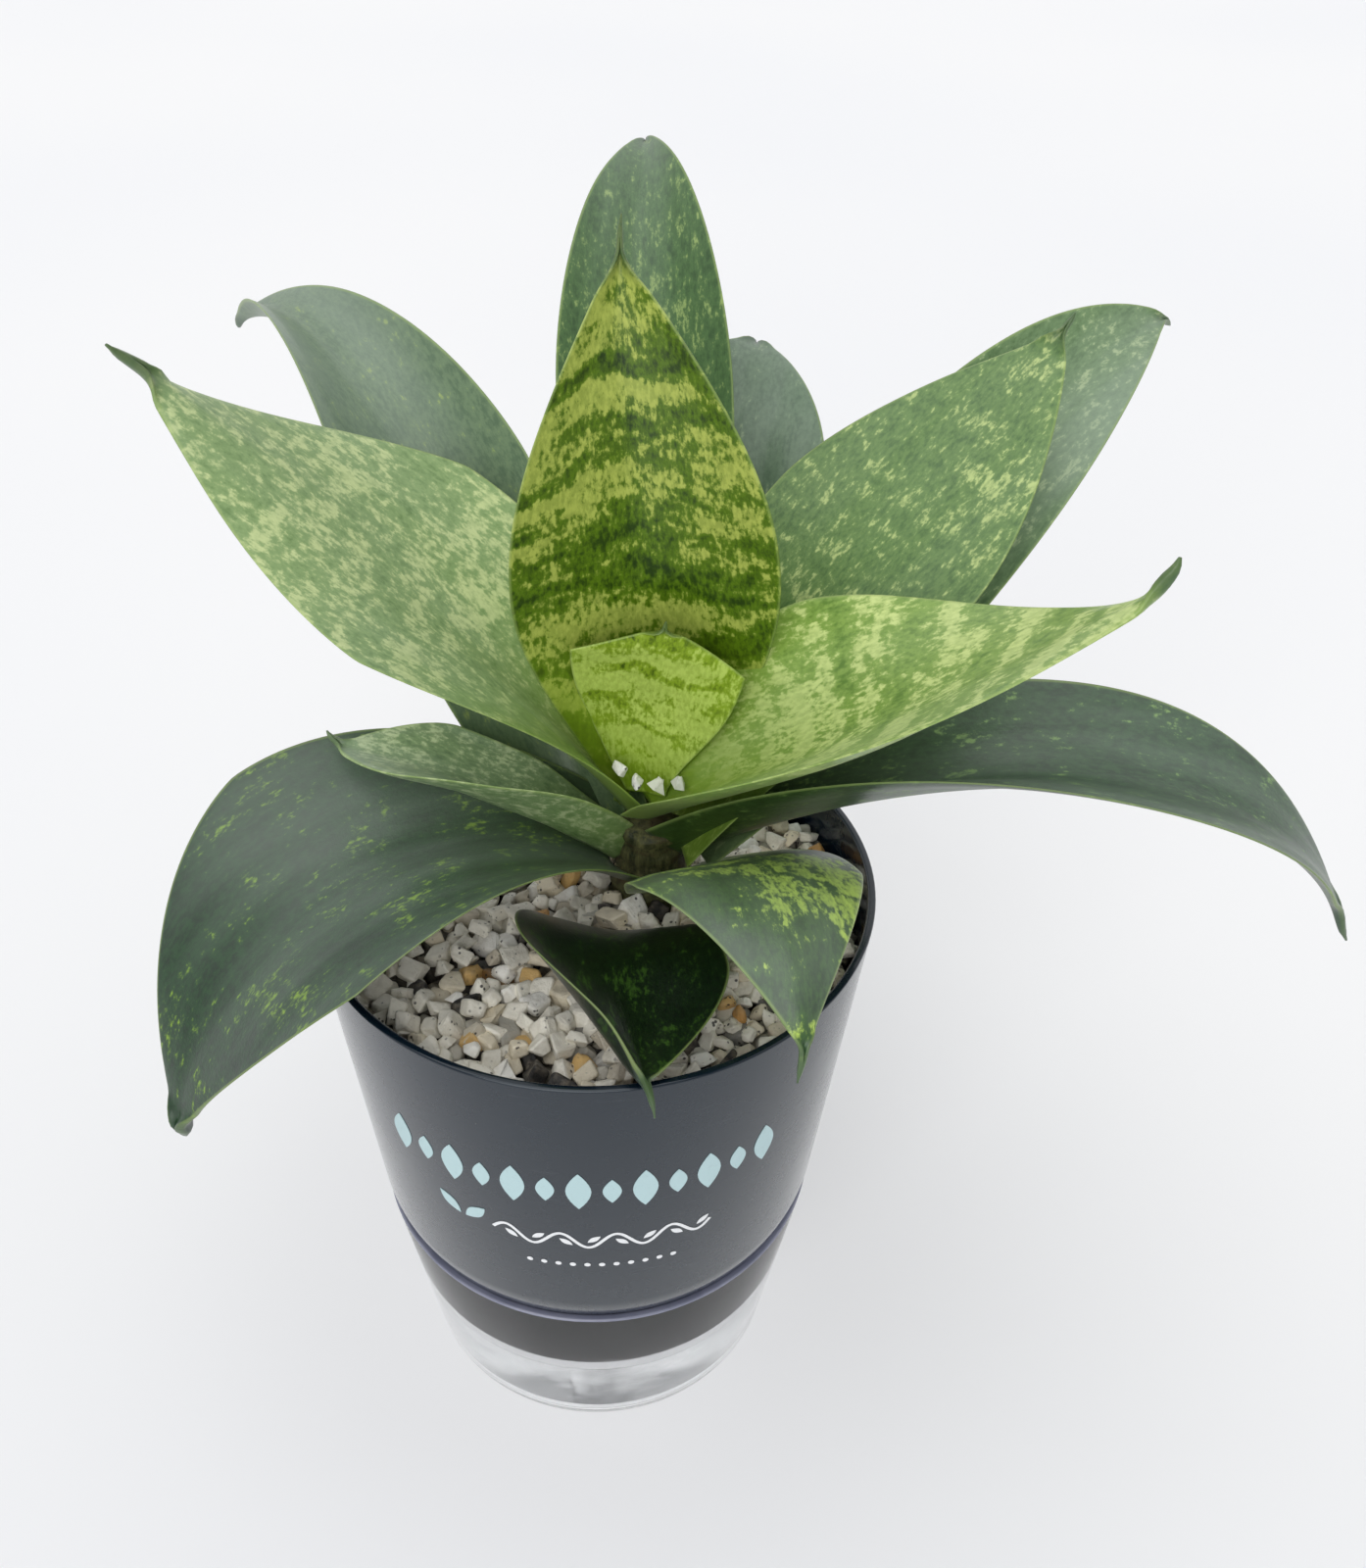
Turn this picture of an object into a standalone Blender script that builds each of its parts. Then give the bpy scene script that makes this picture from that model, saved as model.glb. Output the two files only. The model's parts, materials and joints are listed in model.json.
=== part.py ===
"""Snake plant growing in a two-part self-watering pot.

The origin is the centre of the reservoir's underside, +Z is up and the plant's face is
towards -Y. All sizes are in metres and all angles in degrees.
"""

import math
from collections import namedtuple

import bmesh
import bpy
from mathutils import Vector

NAME = "potted_snake_plant"

# Pot
POT_HEIGHT = 0.148
RIM_RADIUS = 0.0625
RIM_ROUND = 0.0004
POT_WALL = 0.0018
POT_EDGE_ROUND = 0.0025
SEAM_HEIGHT = 0.0575
SEAM_RADIUS = 0.0543
BASE_RADIUS = 0.0458
BASE_ROUND = 0.003
RESERVOIR_WALL = 0.002
RESERVOIR_FLOOR = 0.0025
NECK_DEPTH = 0.016
WELL_RADIUS = 0.0055
WELL_TAPER = 0.001
WELL_CLEARANCE = 0.003
SLOT_COUNT = 6
SLOT_WIDTH = 0.0015
SLOT_HEIGHT = 0.016
DRAIN_COUNT = 8
DRAIN_RADIUS = 0.002
DRAIN_RING = 0.034

# What the pot holds
WATER_DEPTH = 0.026
GRAVEL_BELOW_RIM = 0.010
GRAVEL_DEPTH = 0.008
GRAVEL_MOUND = 0.0015
GRAVEL_SHOULDER = 0.0012
GRAVEL_SHOULDER_REACH = 0.55
GAP = 0.0003
TURN_STEPS = 40

# A wider pot holds a larger plant: the plant's sizes below are for this rim radius
PLANT_RIM_RADIUS = 0.0625
PLANT_SCALE = RIM_RADIUS / PLANT_RIM_RADIUS

# Crown of the plant: the leaves' bases are placed from here
CROWN_X = 0.012 * PLANT_SCALE
CROWN_Y = 0.010 * PLANT_SCALE
CROWN_ABOVE_GRAVEL = 0.014 * PLANT_SCALE
STEM_RADIUS = 0.0095 * PLANT_SCALE
STEM_TOP_RADIUS = 0.0075 * PLANT_SCALE
STEM_DEPTH = 0.030
STEM_SHOULDER_RADIUS = 0.0085 * PLANT_SCALE
RHIZOME_RADIUS = 0.012 * PLANT_SCALE
RHIZOME_BELOW_GRAVEL = 0.010
HEART_HEIGHT = 0.008 * PLANT_SCALE
HEART_RADIUS = 0.0045 * PLANT_SCALE

LEAF_THICK = 0.0026
LEAF_EDGE = 0.0012
LEAF_SECTIONS = 14
LEAF_SPINE_RADIUS = 0.0006
LEAF_GAP = 0.0004
CHANNEL_POWER = 1.5

GRAVEL_TOP = POT_HEIGHT - GRAVEL_BELOW_RIM
CROWN_Z = GRAVEL_TOP + CROWN_ABOVE_GRAVEL
PLANT_MM = PLANT_SCALE / 1000.0

# Each leaf, from the innermost outwards. start is where it leaves the crown (mm from the
# crown's centre), heading and turn are the way it grows seen from above and how far that
# swings by the tip, slope is at base, half-way and tip, length and width are in mm, roll and
# channel (how far each half is folded up) are at base and tip, and outline is the base's
# share of the width, where along the leaf it is widest, and how full the tip is. spine is
# the length of the spine at the tip, in mm.
Leaf = namedtuple("Leaf", "start heading turn slope length width roll channel outline spine")
LEAVES = {
    "centre_young_leaf": Leaf(
        start=(-0.6, -0.3, 12.5), heading=112, turn=-6, slope=(75, 105, 111),
        length=50, width=36, roll=(-51, -15), channel=(20, 2), outline=(0.25, 0.8, 1.02), spine=3,
    ),
    "centre_tall_leaf": Leaf(
        start=(-1, 5, 4), heading=79, turn=-12, slope=(86, 100, 101),
        length=133, width=57, roll=(12, 29), channel=(4, 43), outline=(0.2, 0.52, 2.3), spine=6,
    ),
    "left_upper_leaf": Leaf(
        start=(-5, 4, 4), heading=171, turn=19, slope=(54, 47, 45),
        length=137, width=59, roll=(-23, -24), channel=(68, -29), outline=(0.3, 0.55, 1.2), spine=8,
    ),
    "right_upper_leaf": Leaf(
        start=(5, 2, 0), heading=21, turn=11, slope=(64, 48, 43),
        length=137, width=54, roll=(27, 15), channel=(36, -8), outline=(0.56, 0.56, 1.7), spine=3,
    ),
    "right_lower_leaf": Leaf(
        start=(1, -2, 8), heading=-31, turn=4, slope=(41, 42, 45),
        length=130, width=63, roll=(32, -4), channel=(60, -6), outline=(0.28, 0.4, 1.34), spine=4,
    ),
    "back_tall_leaf": Leaf(
        start=(2, 9, -2), heading=99, turn=-7, slope=(46, 60, 4),
        length=169, width=45, roll=(5, -14), channel=(33, 30), outline=(0.38, 0.56, 1.8), spine=1.5,
    ),
    "back_small_leaf": Leaf(
        start=(4, 9, -4), heading=76, turn=6, slope=(28, 55, -7),
        length=129, width=48, roll=(2, 12), channel=(23, 13), outline=(0.54, 0.54, 2.3), spine=1.5,
    ),
    "left_far_leaf": Leaf(
        start=(-9, 4, -3), heading=139, turn=-7, slope=(43, 41, -35),
        length=177, width=48, roll=(-51, 8), channel=(27, 42), outline=(0.5, 0.46, 1.4), spine=4,
    ),
    "right_far_leaf": Leaf(
        start=(8, 3, -3), heading=28, turn=18, slope=(41, 42, -4),
        length=173, width=45, roll=(27, 37), channel=(30, 17), outline=(0.54, 0.44, 2.2), spine=3,
    ),
    "right_drooping_leaf": Leaf(
        start=(7, -2, -3), heading=-18, turn=24, slope=(39, 6, -67),
        length=169, width=42, roll=(-3, 10), channel=(58, 7), outline=(0.54, 0.46, 2.1), spine=8,
    ),
    "left_drooping_leaf": Leaf(
        start=(-10, -4, -6), heading=200, turn=20, slope=(38, -19, -80),
        length=129, width=70, roll=(-6, -9), channel=(34, 8), outline=(0.2, 0.53, 1.2), spine=4,
    ),
    "left_small_leaf": Leaf(
        start=(-8, -3, -4), heading=205, turn=-41, slope=(48, 27, 3),
        length=70, width=27, roll=(26, -4), channel=(61, 16), outline=(0.48, 0.65, 1.6), spine=3,
    ),
    "front_drooping_leaf": Leaf(
        start=(5, -7, -8), heading=-60, turn=-22, slope=(39, 31, -64),
        length=96, width=46, roll=(2, -14), channel=(6, -12), outline=(0.46, 0.54, 1.2), spine=6,
    ),
    "front_low_leaf": Leaf(
        start=(-7, -20, -14), heading=-94, turn=25, slope=(58, 0, 32),
        length=59, width=48, roll=(2, -37), channel=(9, 41), outline=(0.51, 0.46, 1.8), spine=8,
    ),
}

# Stones lying in the crown: place from the crown's centre and size, both in mm
STONE_SHAPE = (1.0, 0.85, 0.7)
CROWN_STONES = {
    "crown_stone_left": ((-6.9, -3.8, 21.4), 4.2),
    "crown_stone_front": ((-3.1, -6.5, 20), 4.4),
    "crown_stone_right": ((6.1, -6.5, 20.3), 4.2),
    "crown_stone_back": ((1.6, -7, 19.5), 4.4),
}

COLOURS = {
    "clear_plastic": ((0.86, 0.88, 0.90, 1), 0.12),
    "dark_plastic": ((0.055, 0.070, 0.085, 1), 0.35),
    "water": ((0.80, 0.86, 0.88, 1), 0.05),
    "soil": ((0.030, 0.020, 0.013, 1), 0.95),
    "stone": ((0.62, 0.56, 0.47, 1), 0.8),
    "stem": ((0.16, 0.15, 0.07, 1), 0.6),
    "leaf": ((0.13, 0.21, 0.08, 1), 0.4),
}


def clear_scene():
    for obj in list(bpy.data.objects):
        bpy.data.objects.remove(obj, do_unlink=True)


def new_collection(name):
    collection = bpy.data.collections.new(name)
    bpy.context.scene.collection.children.link(collection)
    return collection


def make_material(node, kind):
    colour, roughness = COLOURS[kind]
    material = bpy.data.materials.new(f"{node}_{kind}")
    material.use_nodes = True
    shader = material.node_tree.nodes["Principled BSDF"]
    shader.inputs["Base Color"].default_value = colour
    shader.inputs["Roughness"].default_value = roughness
    shader.inputs["Metallic"].default_value = 0.0
    material.diffuse_color = colour
    return material


def add_object(name, mesh, collection, kind=None):
    obj = bpy.data.objects.new(name, mesh)
    collection.objects.link(obj)
    if kind:
        mesh.materials.append(make_material(name, kind))
    return obj


def as_cutter(obj):
    obj.hide_render = True
    obj.display_type = "WIRE"
    return obj


def mesh_from_bmesh(name, bm):
    bmesh.ops.recalc_face_normals(bm, faces=bm.faces[:])
    mesh = bpy.data.meshes.new(name)
    bm.to_mesh(mesh)
    bm.free()
    mesh.shade_smooth()
    return mesh


def turned(name, profile, collection, kind=None, steps=TURN_STEPS):
    """Turn a closed or axis-to-axis profile of (radius, height) points about Z."""
    mesh = bpy.data.meshes.new(name)
    points = [(radius, 0.0, height) for radius, height in profile]
    on_axis = profile[0][0] == 0.0 and profile[-1][0] == 0.0
    edges = [(i, i + 1) for i in range(len(points) - 1)]
    if not on_axis:
        edges.append((len(points) - 1, 0))
    mesh.from_pydata(points, edges, [])
    obj = add_object(name, mesh, collection, kind)
    screw = obj.modifiers.new("turn", "SCREW")
    screw.axis = "Z"
    screw.angle = math.tau
    screw.steps = steps
    screw.render_steps = steps
    screw.use_merge_vertices = True
    screw.merge_threshold = 0.00001
    screw.use_smooth_shade = True
    return obj


def arc(centre, radius, start, end, steps):
    """Points on an arc in the profile's plane, angles in degrees from +X."""
    for i in range(steps + 1):
        angle = math.radians(start + (end - start) * i / steps)
        yield centre[0] + radius * math.cos(angle), centre[1] + radius * math.sin(angle)


def cut(obj, cutter):
    boolean = obj.modifiers.new("cut", "BOOLEAN")
    boolean.operation = "DIFFERENCE"
    boolean.object = cutter
    return boolean


def reservoir_radius(height):
    """Outer radius of the clear reservoir at a height."""
    return BASE_RADIUS + (SEAM_RADIUS - BASE_RADIUS) * height / SEAM_HEIGHT


def pot_radius(height):
    """Outer radius of the dark pot at a height above the seam."""
    share = (height - SEAM_HEIGHT) / (POT_HEIGHT - SEAM_HEIGHT)
    return SEAM_RADIUS + (RIM_RADIUS - SEAM_RADIUS) * share


def reservoir_bore(height):
    return reservoir_radius(height) - RESERVOIR_WALL


def pot_bore(height):
    return pot_radius(height) - POT_WALL


NECK_BOTTOM = SEAM_HEIGHT - NECK_DEPTH
POT_FLOOR = NECK_BOTTOM + POT_WALL
NECK_RADIUS = reservoir_bore(NECK_BOTTOM) - GAP
NECK_TOP_RADIUS = reservoir_bore(SEAM_HEIGHT) - GAP
WELL_BOTTOM = RESERVOIR_FLOOR + WELL_CLEARANCE
WELL_END_RADIUS = WELL_RADIUS - WELL_TAPER
WATER_TOP = RESERVOIR_FLOOR + WATER_DEPTH
SHOULDER_HEIGHT = SEAM_HEIGHT + POT_WALL
SHOULDER_TOP = SHOULDER_HEIGHT + POT_WALL


def make_reservoir(collection):
    bore_floor = reservoir_bore(RESERVOIR_FLOOR)
    profile = [(0.0, RESERVOIR_FLOOR)]
    profile += [(bore_floor - BASE_ROUND, RESERVOIR_FLOOR)]
    profile += [(bore_floor, RESERVOIR_FLOOR + BASE_ROUND)]
    profile += [(reservoir_bore(SEAM_HEIGHT), SEAM_HEIGHT), (SEAM_RADIUS, SEAM_HEIGHT)]
    corner = (BASE_RADIUS - BASE_ROUND, BASE_ROUND)
    profile += list(arc(corner, BASE_ROUND, 0, -90, 3))
    profile += [(0.0, 0.0)]
    return turned("water_reservoir", profile, collection, "clear_plastic")


def well_radius(height):
    share = (height - WELL_BOTTOM) / (NECK_BOTTOM - WELL_BOTTOM)
    return WELL_END_RADIUS + (WELL_RADIUS - WELL_END_RADIUS) * share


def make_pot(collection, cutters):
    top_bore = pot_bore(POT_HEIGHT)
    seam = SEAM_HEIGHT + GAP
    outer = [(RIM_RADIUS - RIM_ROUND, POT_HEIGHT), (RIM_RADIUS, POT_HEIGHT - RIM_ROUND)]
    edge = (pot_radius(seam + POT_EDGE_ROUND) - POT_EDGE_ROUND, seam + POT_EDGE_ROUND)
    outer += list(arc(edge, POT_EDGE_ROUND, 0, -60, 3))
    neck = [(NECK_TOP_RADIUS, seam), (NECK_RADIUS, NECK_BOTTOM)]
    well = [(WELL_RADIUS, NECK_BOTTOM), (WELL_END_RADIUS, WELL_BOTTOM), (0.0, WELL_BOTTOM)]
    inside = [(0.0, WELL_BOTTOM + POT_WALL), (WELL_END_RADIUS - POT_WALL, WELL_BOTTOM + POT_WALL)]
    inside += [(WELL_RADIUS - POT_WALL, POT_FLOOR), (NECK_RADIUS - POT_WALL, POT_FLOOR)]
    inside += [(NECK_TOP_RADIUS - POT_WALL, SHOULDER_HEIGHT), (pot_bore(SHOULDER_TOP), SHOULDER_TOP)]
    inside += [(top_bore, POT_HEIGHT)]
    pot = turned("planter_pot", outer + neck + well + inside, collection, "dark_plastic")
    for i in range(SLOT_COUNT):
        cut(pot, well_slot(i, cutters))
    for i in range(DRAIN_COUNT):
        cut(pot, drain_hole(i, cutters))
    return pot


def well_slot(index, cutters):
    """A slot through the wicking well's wall, on one side of the well only."""
    bm = bmesh.new()
    bmesh.ops.create_cube(bm, size=1.0)
    bmesh.ops.scale(bm, vec=(WELL_RADIUS, SLOT_WIDTH, SLOT_HEIGHT), verts=bm.verts)
    middle = WELL_BOTTOM + POT_WALL + SLOT_HEIGHT / 2 + POT_WALL
    bmesh.ops.translate(bm, vec=(WELL_RADIUS, 0, middle), verts=bm.verts)
    obj = add_object(f"well_slot_{index}", mesh_from_bmesh("well_slot", bm), cutters)
    obj.rotation_euler.z = math.tau * index / SLOT_COUNT
    return as_cutter(obj)


def drain_hole(index, cutters):
    bm = bmesh.new()
    bmesh.ops.create_cone(
        bm, cap_ends=True, segments=12, radius1=DRAIN_RADIUS, radius2=DRAIN_RADIUS, depth=POT_WALL * 3
    )
    obj = add_object(f"drain_hole_{index}", mesh_from_bmesh("drain_hole", bm), cutters)
    angle = math.tau * (index + 0.5) / DRAIN_COUNT
    height = (NECK_BOTTOM + POT_FLOOR) / 2
    obj.location = (DRAIN_RING * math.cos(angle), DRAIN_RING * math.sin(angle), height)
    return as_cutter(obj)


def make_water(collection):
    """The water between the reservoir's wall and the wicking well."""
    floor = RESERVOIR_FLOOR + GAP
    side = reservoir_bore(RESERVOIR_FLOOR) - GAP
    under_well = WELL_BOTTOM - GAP
    profile = [(well_radius(WATER_TOP) + GAP, WATER_TOP), (reservoir_bore(WATER_TOP) - GAP, WATER_TOP)]
    profile += [(side, floor + BASE_ROUND), (side - BASE_ROUND, floor), (0.0, floor)]
    profile += [(0.0, under_well), (WELL_END_RADIUS + GAP, under_well)]
    return turned("reservoir_water", profile, collection, "water")


def make_soil(collection):
    """Potting mix, filling the pot and the well up to the gravel."""
    top = GRAVEL_TOP - GRAVEL_DEPTH - GAP
    well_floor = WELL_BOTTOM + POT_WALL + GAP
    profile = [(0.0, top), (pot_bore(top) - GAP, top)]
    profile += [(pot_bore(SHOULDER_TOP) - GAP, SHOULDER_TOP + GAP)]
    profile += [(NECK_TOP_RADIUS - POT_WALL - GAP, SHOULDER_HEIGHT + GAP)]
    profile += [(NECK_RADIUS - POT_WALL - GAP, POT_FLOOR + GAP)]
    profile += [(WELL_RADIUS - POT_WALL - GAP, POT_FLOOR + GAP)]
    profile += [(WELL_END_RADIUS - POT_WALL - GAP, well_floor), (0.0, well_floor)]
    return turned("potting_mix", profile, collection, "soil")


def make_gravel(collection):
    """The layer of white stones, a little higher in the middle."""
    bottom = GRAVEL_TOP - GRAVEL_DEPTH
    side = pot_bore(GRAVEL_TOP) - GAP
    shoulder = (side * GRAVEL_SHOULDER_REACH, GRAVEL_TOP + GRAVEL_SHOULDER)
    profile = [(0.0, GRAVEL_TOP + GRAVEL_MOUND), shoulder]
    profile += [(side, GRAVEL_TOP), (pot_bore(bottom) - GAP, bottom), (0.0, bottom)]
    return turned("gravel_bed", profile, collection, "stone")


def stem_profile(extra):
    """The heart between the leaf bases, the short crown stem and the rhizome under it.

    extra grows it on every side.
    """
    top = CROWN_Z + HEART_HEIGHT + extra
    foot = GRAVEL_TOP - STEM_DEPTH - extra
    neck = GRAVEL_TOP - GRAVEL_DEPTH
    thickest = neck - RHIZOME_BELOW_GRAVEL
    profile = [(0.0, top), (HEART_RADIUS * 0.8 + extra, top - HEART_RADIUS * 0.2)]
    profile += [(HEART_RADIUS + extra, top - HEART_RADIUS)]
    profile += [(STEM_TOP_RADIUS + extra, CROWN_Z - STEM_TOP_RADIUS / 2)]
    profile += [(STEM_SHOULDER_RADIUS + extra, GRAVEL_TOP), (STEM_RADIUS + extra, neck)]
    profile += [(RHIZOME_RADIUS + extra, thickest), (STEM_SHOULDER_RADIUS + extra, foot + HEART_RADIUS)]
    profile += [(0.0, foot)]
    return profile


def place_stem(obj):
    obj.location = (CROWN_X, CROWN_Y, 0.0)
    return obj


def leaf_frames(leaf, sections):
    """Points along the midrib with the directions along, across and up from the blade."""
    length = leaf.length * PLANT_MM
    start = Vector((CROWN_X, CROWN_Y, CROWN_Z)) + Vector(leaf.start) * PLANT_MM
    frames = []
    point = start
    last = None
    for i in range(sections):
        s = i / (sections - 1)
        heading = math.radians(leaf.heading + leaf.turn * s)
        base, middle, tip = leaf.slope
        slope = base * (1 - s) * (1 - 2 * s) + middle * 4 * s * (1 - s) + tip * s * (2 * s - 1)
        slope = math.radians(slope)
        level = math.cos(slope)
        along = Vector((level * math.cos(heading), level * math.sin(heading), math.sin(slope)))
        if last is not None:
            point = point + (along + last) * (0.5 * length / (sections - 1))
        last = along
        side = Vector((math.sin(heading), -math.cos(heading), 0.0))
        up = side.cross(along)
        roll = math.radians(leaf.roll[0] + (leaf.roll[1] - leaf.roll[0]) * s)
        across = side * math.cos(roll) - up * math.sin(roll)
        up = side * math.sin(roll) + up * math.cos(roll)
        frames.append((s, point, along, across, up))
    return frames


def leaf_width(leaf, s):
    base, widest, fullness = leaf.outline
    if s < widest:
        share = base + (1 - base) * math.sin(math.pi / 2 * s / widest)
    else:
        share = 1 - ((s - widest) / (1 - widest)) ** fullness
    return leaf.width * PLANT_MM * share


def leaf_ring(leaf, frame, extra):
    """One closed section of a leaf: upper side from edge to edge, then the under side back."""
    s, point, along, across, up = frame
    half = max(leaf_width(leaf, s) / 2, LEAF_SPINE_RADIUS) + extra
    fold = math.radians(leaf.channel[0] + (leaf.channel[1] - leaf.channel[0]) * s)
    thin = 1 - s ** 4
    ring = []
    for upper in (True, False):
        shares = (-1.0, -0.5, 0.0, 0.5, 1.0)
        if not upper:
            shares = shares[::-1]
        for u in shares:
            thick = LEAF_EDGE + (LEAF_THICK - LEAF_EDGE) * (1 - u * u)
            thick = max(thick * thin, LEAF_SPINE_RADIUS * 2) / 2 + extra
            middle = point + across * (u * half * math.cos(fold))
            middle += up * (abs(u) ** CHANNEL_POWER * half * math.sin(fold))
            lean = math.radians(90) - fold * abs(u) * 0.9
            out = up * math.sin(lean) - across * math.copysign(math.cos(lean), u) if u else up
            ring.append(middle + out * (thick if upper else -thick))
    return ring


def leaf_mesh(name, leaf, extra=0.0):
    """Loft a leaf through its sections, closed at the base and drawn out to a spine."""
    frames = leaf_frames(leaf, LEAF_SECTIONS)
    bm = bmesh.new()
    rings = []
    for frame in frames:
        rings.append([bm.verts.new(co) for co in leaf_ring(leaf, frame, extra)])
    for vert in rings[0]:
        vert.co -= frames[0][2] * extra * 2
    for first, second in zip(rings, rings[1:]):
        count = len(first)
        for i in range(count):
            bm.faces.new((first[i], first[(i + 1) % count], second[(i + 1) % count], second[i]))
    bm.faces.new(rings[0][::-1])
    s, point, along, across, up = frames[-1]
    spine = bm.verts.new(point + along * (leaf.spine * PLANT_MM + extra))
    for i in range(len(rings[-1])):
        bm.faces.new((rings[-1][i], rings[-1][(i + 1) % len(rings[-1])], spine))
    bmesh.ops.triangulate(bm, faces=bm.faces[:], quad_method="FIXED")
    return mesh_from_bmesh(name, bm)


def largest_island(obj):
    """Bake an object's cuts and keep only its largest connected body."""
    depsgraph = bpy.context.evaluated_depsgraph_get()
    mesh = bpy.data.meshes.new_from_object(obj.evaluated_get(depsgraph))
    bm = bmesh.new()
    bm.from_mesh(mesh)
    bmesh.ops.remove_doubles(bm, verts=bm.verts[:], dist=0.00001)
    left = set(bm.verts)
    islands = []
    while left:
        stack = [left.pop()]
        island = set(stack)
        while stack:
            for edge in stack.pop().link_edges:
                for vert in edge.verts:
                    if vert in left:
                        left.remove(vert)
                        island.add(vert)
                        stack.append(vert)
        islands.append(island)
    islands.sort(key=len)
    for island in islands[:-1]:
        bmesh.ops.delete(bm, geom=list(island), context="VERTS")
    bm.to_mesh(mesh)
    bm.free()
    obj.modifiers.clear()
    obj.data = mesh
    return obj


def boxes_meet(first, second):
    low_a, high_a = bounds(first)
    low_b, high_b = bounds(second)
    return all(low_a[i] < high_b[i] and low_b[i] < high_a[i] for i in range(3))


def bounds(obj):
    corners = [obj.matrix_world @ vert.co for vert in obj.data.vertices]
    low = [min(co[i] for co in corners) for i in range(3)]
    high = [max(co[i] for co in corners) for i in range(3)]
    return low, high


def make_leaves(collection, cutters):
    """Each leaf gives way to the leaves inside it, so that the bases clasp without meeting."""
    built = []
    for name, leaf in LEAVES.items():
        obj = add_object(name, leaf_mesh(name, leaf), collection, "leaf")
        for cutter in built:
            if boxes_meet(obj, cutter):
                cut(obj, cutter)
        largest_island(obj)
        grown = add_object(f"{name}_clearance", leaf_mesh(name, leaf, LEAF_GAP), cutters)
        built.append(as_cutter(grown))
    return built


def make_stem(collection, cutters, leaf_cutters):
    stem = place_stem(turned("plant_stem", stem_profile(0.0), collection, "stem", steps=20))
    for cutter in leaf_cutters:
        cut(stem, cutter)
    largest_island(stem)
    grown = place_stem(turned("stem_clearance", stem_profile(GAP), cutters, steps=20))
    return as_cutter(grown)


def make_crown_stones(collection, leaf_cutters):
    for name, (place, size) in CROWN_STONES.items():
        bm = bmesh.new()
        bmesh.ops.create_icosphere(bm, subdivisions=1, radius=size * PLANT_MM / 2)
        bmesh.ops.scale(bm, vec=STONE_SHAPE, verts=bm.verts)
        obj = add_object(name, mesh_from_bmesh(name, bm), collection, "stone")
        obj.location = Vector((CROWN_X, CROWN_Y, CROWN_Z)) + Vector(place) * PLANT_MM
        for cutter in leaf_cutters:
            cut(obj, cutter)
        bpy.context.view_layer.update()
        largest_island(obj)


def main():
    clear_scene()
    parts = new_collection(NAME)
    cutters = new_collection("cutters")
    make_reservoir(parts)
    make_pot(parts, cutters)
    make_water(parts)
    soil = make_soil(parts)
    gravel = make_gravel(parts)
    leaf_cutters = make_leaves(parts, cutters)
    stem_cutter = make_stem(parts, cutters, leaf_cutters)
    cut(soil, stem_cutter)
    cut(gravel, stem_cutter)
    for cutter in leaf_cutters:
        cut(gravel, cutter)
    largest_island(gravel)
    largest_island(soil)
    make_crown_stones(parts, leaf_cutters)


main()
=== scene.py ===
"""Snake plant in a two-part self-watering pot.

Laid out as an add-on: every operator makes one piece, or one group of like pieces, round the
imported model. Lengths are in metres unless a name says otherwise, angles in degrees, +Z is up
and the plant's face is towards -Y.
"""

import json
import math
import random
from collections import namedtuple

import bmesh
import bpy
from mathutils import Matrix, Vector, noise
from mathutils.bvhtree import BVHTree

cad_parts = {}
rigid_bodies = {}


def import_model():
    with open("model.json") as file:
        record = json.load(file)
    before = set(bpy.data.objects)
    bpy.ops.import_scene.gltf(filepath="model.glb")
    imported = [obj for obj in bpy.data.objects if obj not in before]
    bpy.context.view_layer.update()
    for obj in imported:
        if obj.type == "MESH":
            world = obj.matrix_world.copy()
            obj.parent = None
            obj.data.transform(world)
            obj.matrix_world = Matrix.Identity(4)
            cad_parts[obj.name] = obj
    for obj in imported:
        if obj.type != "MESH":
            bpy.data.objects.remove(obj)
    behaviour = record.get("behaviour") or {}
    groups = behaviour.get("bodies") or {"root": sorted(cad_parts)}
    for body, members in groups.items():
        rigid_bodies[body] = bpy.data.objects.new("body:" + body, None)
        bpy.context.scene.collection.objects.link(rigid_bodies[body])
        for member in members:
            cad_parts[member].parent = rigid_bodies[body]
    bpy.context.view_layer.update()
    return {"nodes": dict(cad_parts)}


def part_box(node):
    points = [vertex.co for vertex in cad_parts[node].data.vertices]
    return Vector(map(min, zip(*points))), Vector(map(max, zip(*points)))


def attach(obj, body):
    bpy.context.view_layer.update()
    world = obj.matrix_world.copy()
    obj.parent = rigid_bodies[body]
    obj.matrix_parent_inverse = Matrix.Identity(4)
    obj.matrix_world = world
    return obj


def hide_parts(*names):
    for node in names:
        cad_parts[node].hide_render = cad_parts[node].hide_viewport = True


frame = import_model()

bl_info = {
    "name": "Potted Snake Plant",
    "version": (1, 0, 0),
    "blender": (4, 5, 0),
    "location": "View3D > Sidebar > Snake Plant",
    "description": "Builds a snake plant in a self-watering pot round its packed model",
    "category": "Add Mesh",
}

BODY = "root"
LAMPS = {
    "high_window": ((-0.15, -0.20, 1.0), 55, 0.55),
    "front_window": ((-0.20, -1.0, 0.50), 50, 1.3),
}
SKY_TOWARDS = (-0.15, 0.55, 0.82)
SKY_COLOUR = (0.985, 0.99, 1.0, 1.0)
SKY_DIM, SKY_BRIGHT = 0.37, 0.92
GLOW_SIZE = 0.07
GLOW_ENERGY = 0.014
FLOOR_RADIUS = 14.0
SENSOR_WIDTH = 36.0
LENS = 33.75
CAMERA_TARGET = Vector((0.0188, 0.0, 0.1742))
CAMERA_DISTANCE = 0.3123
CAMERA_RISE = 38.0
CAMERA_ROLL = 1.9
ROUND_STEPS = 144
CROWN_STONE_SEED = 11


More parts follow.
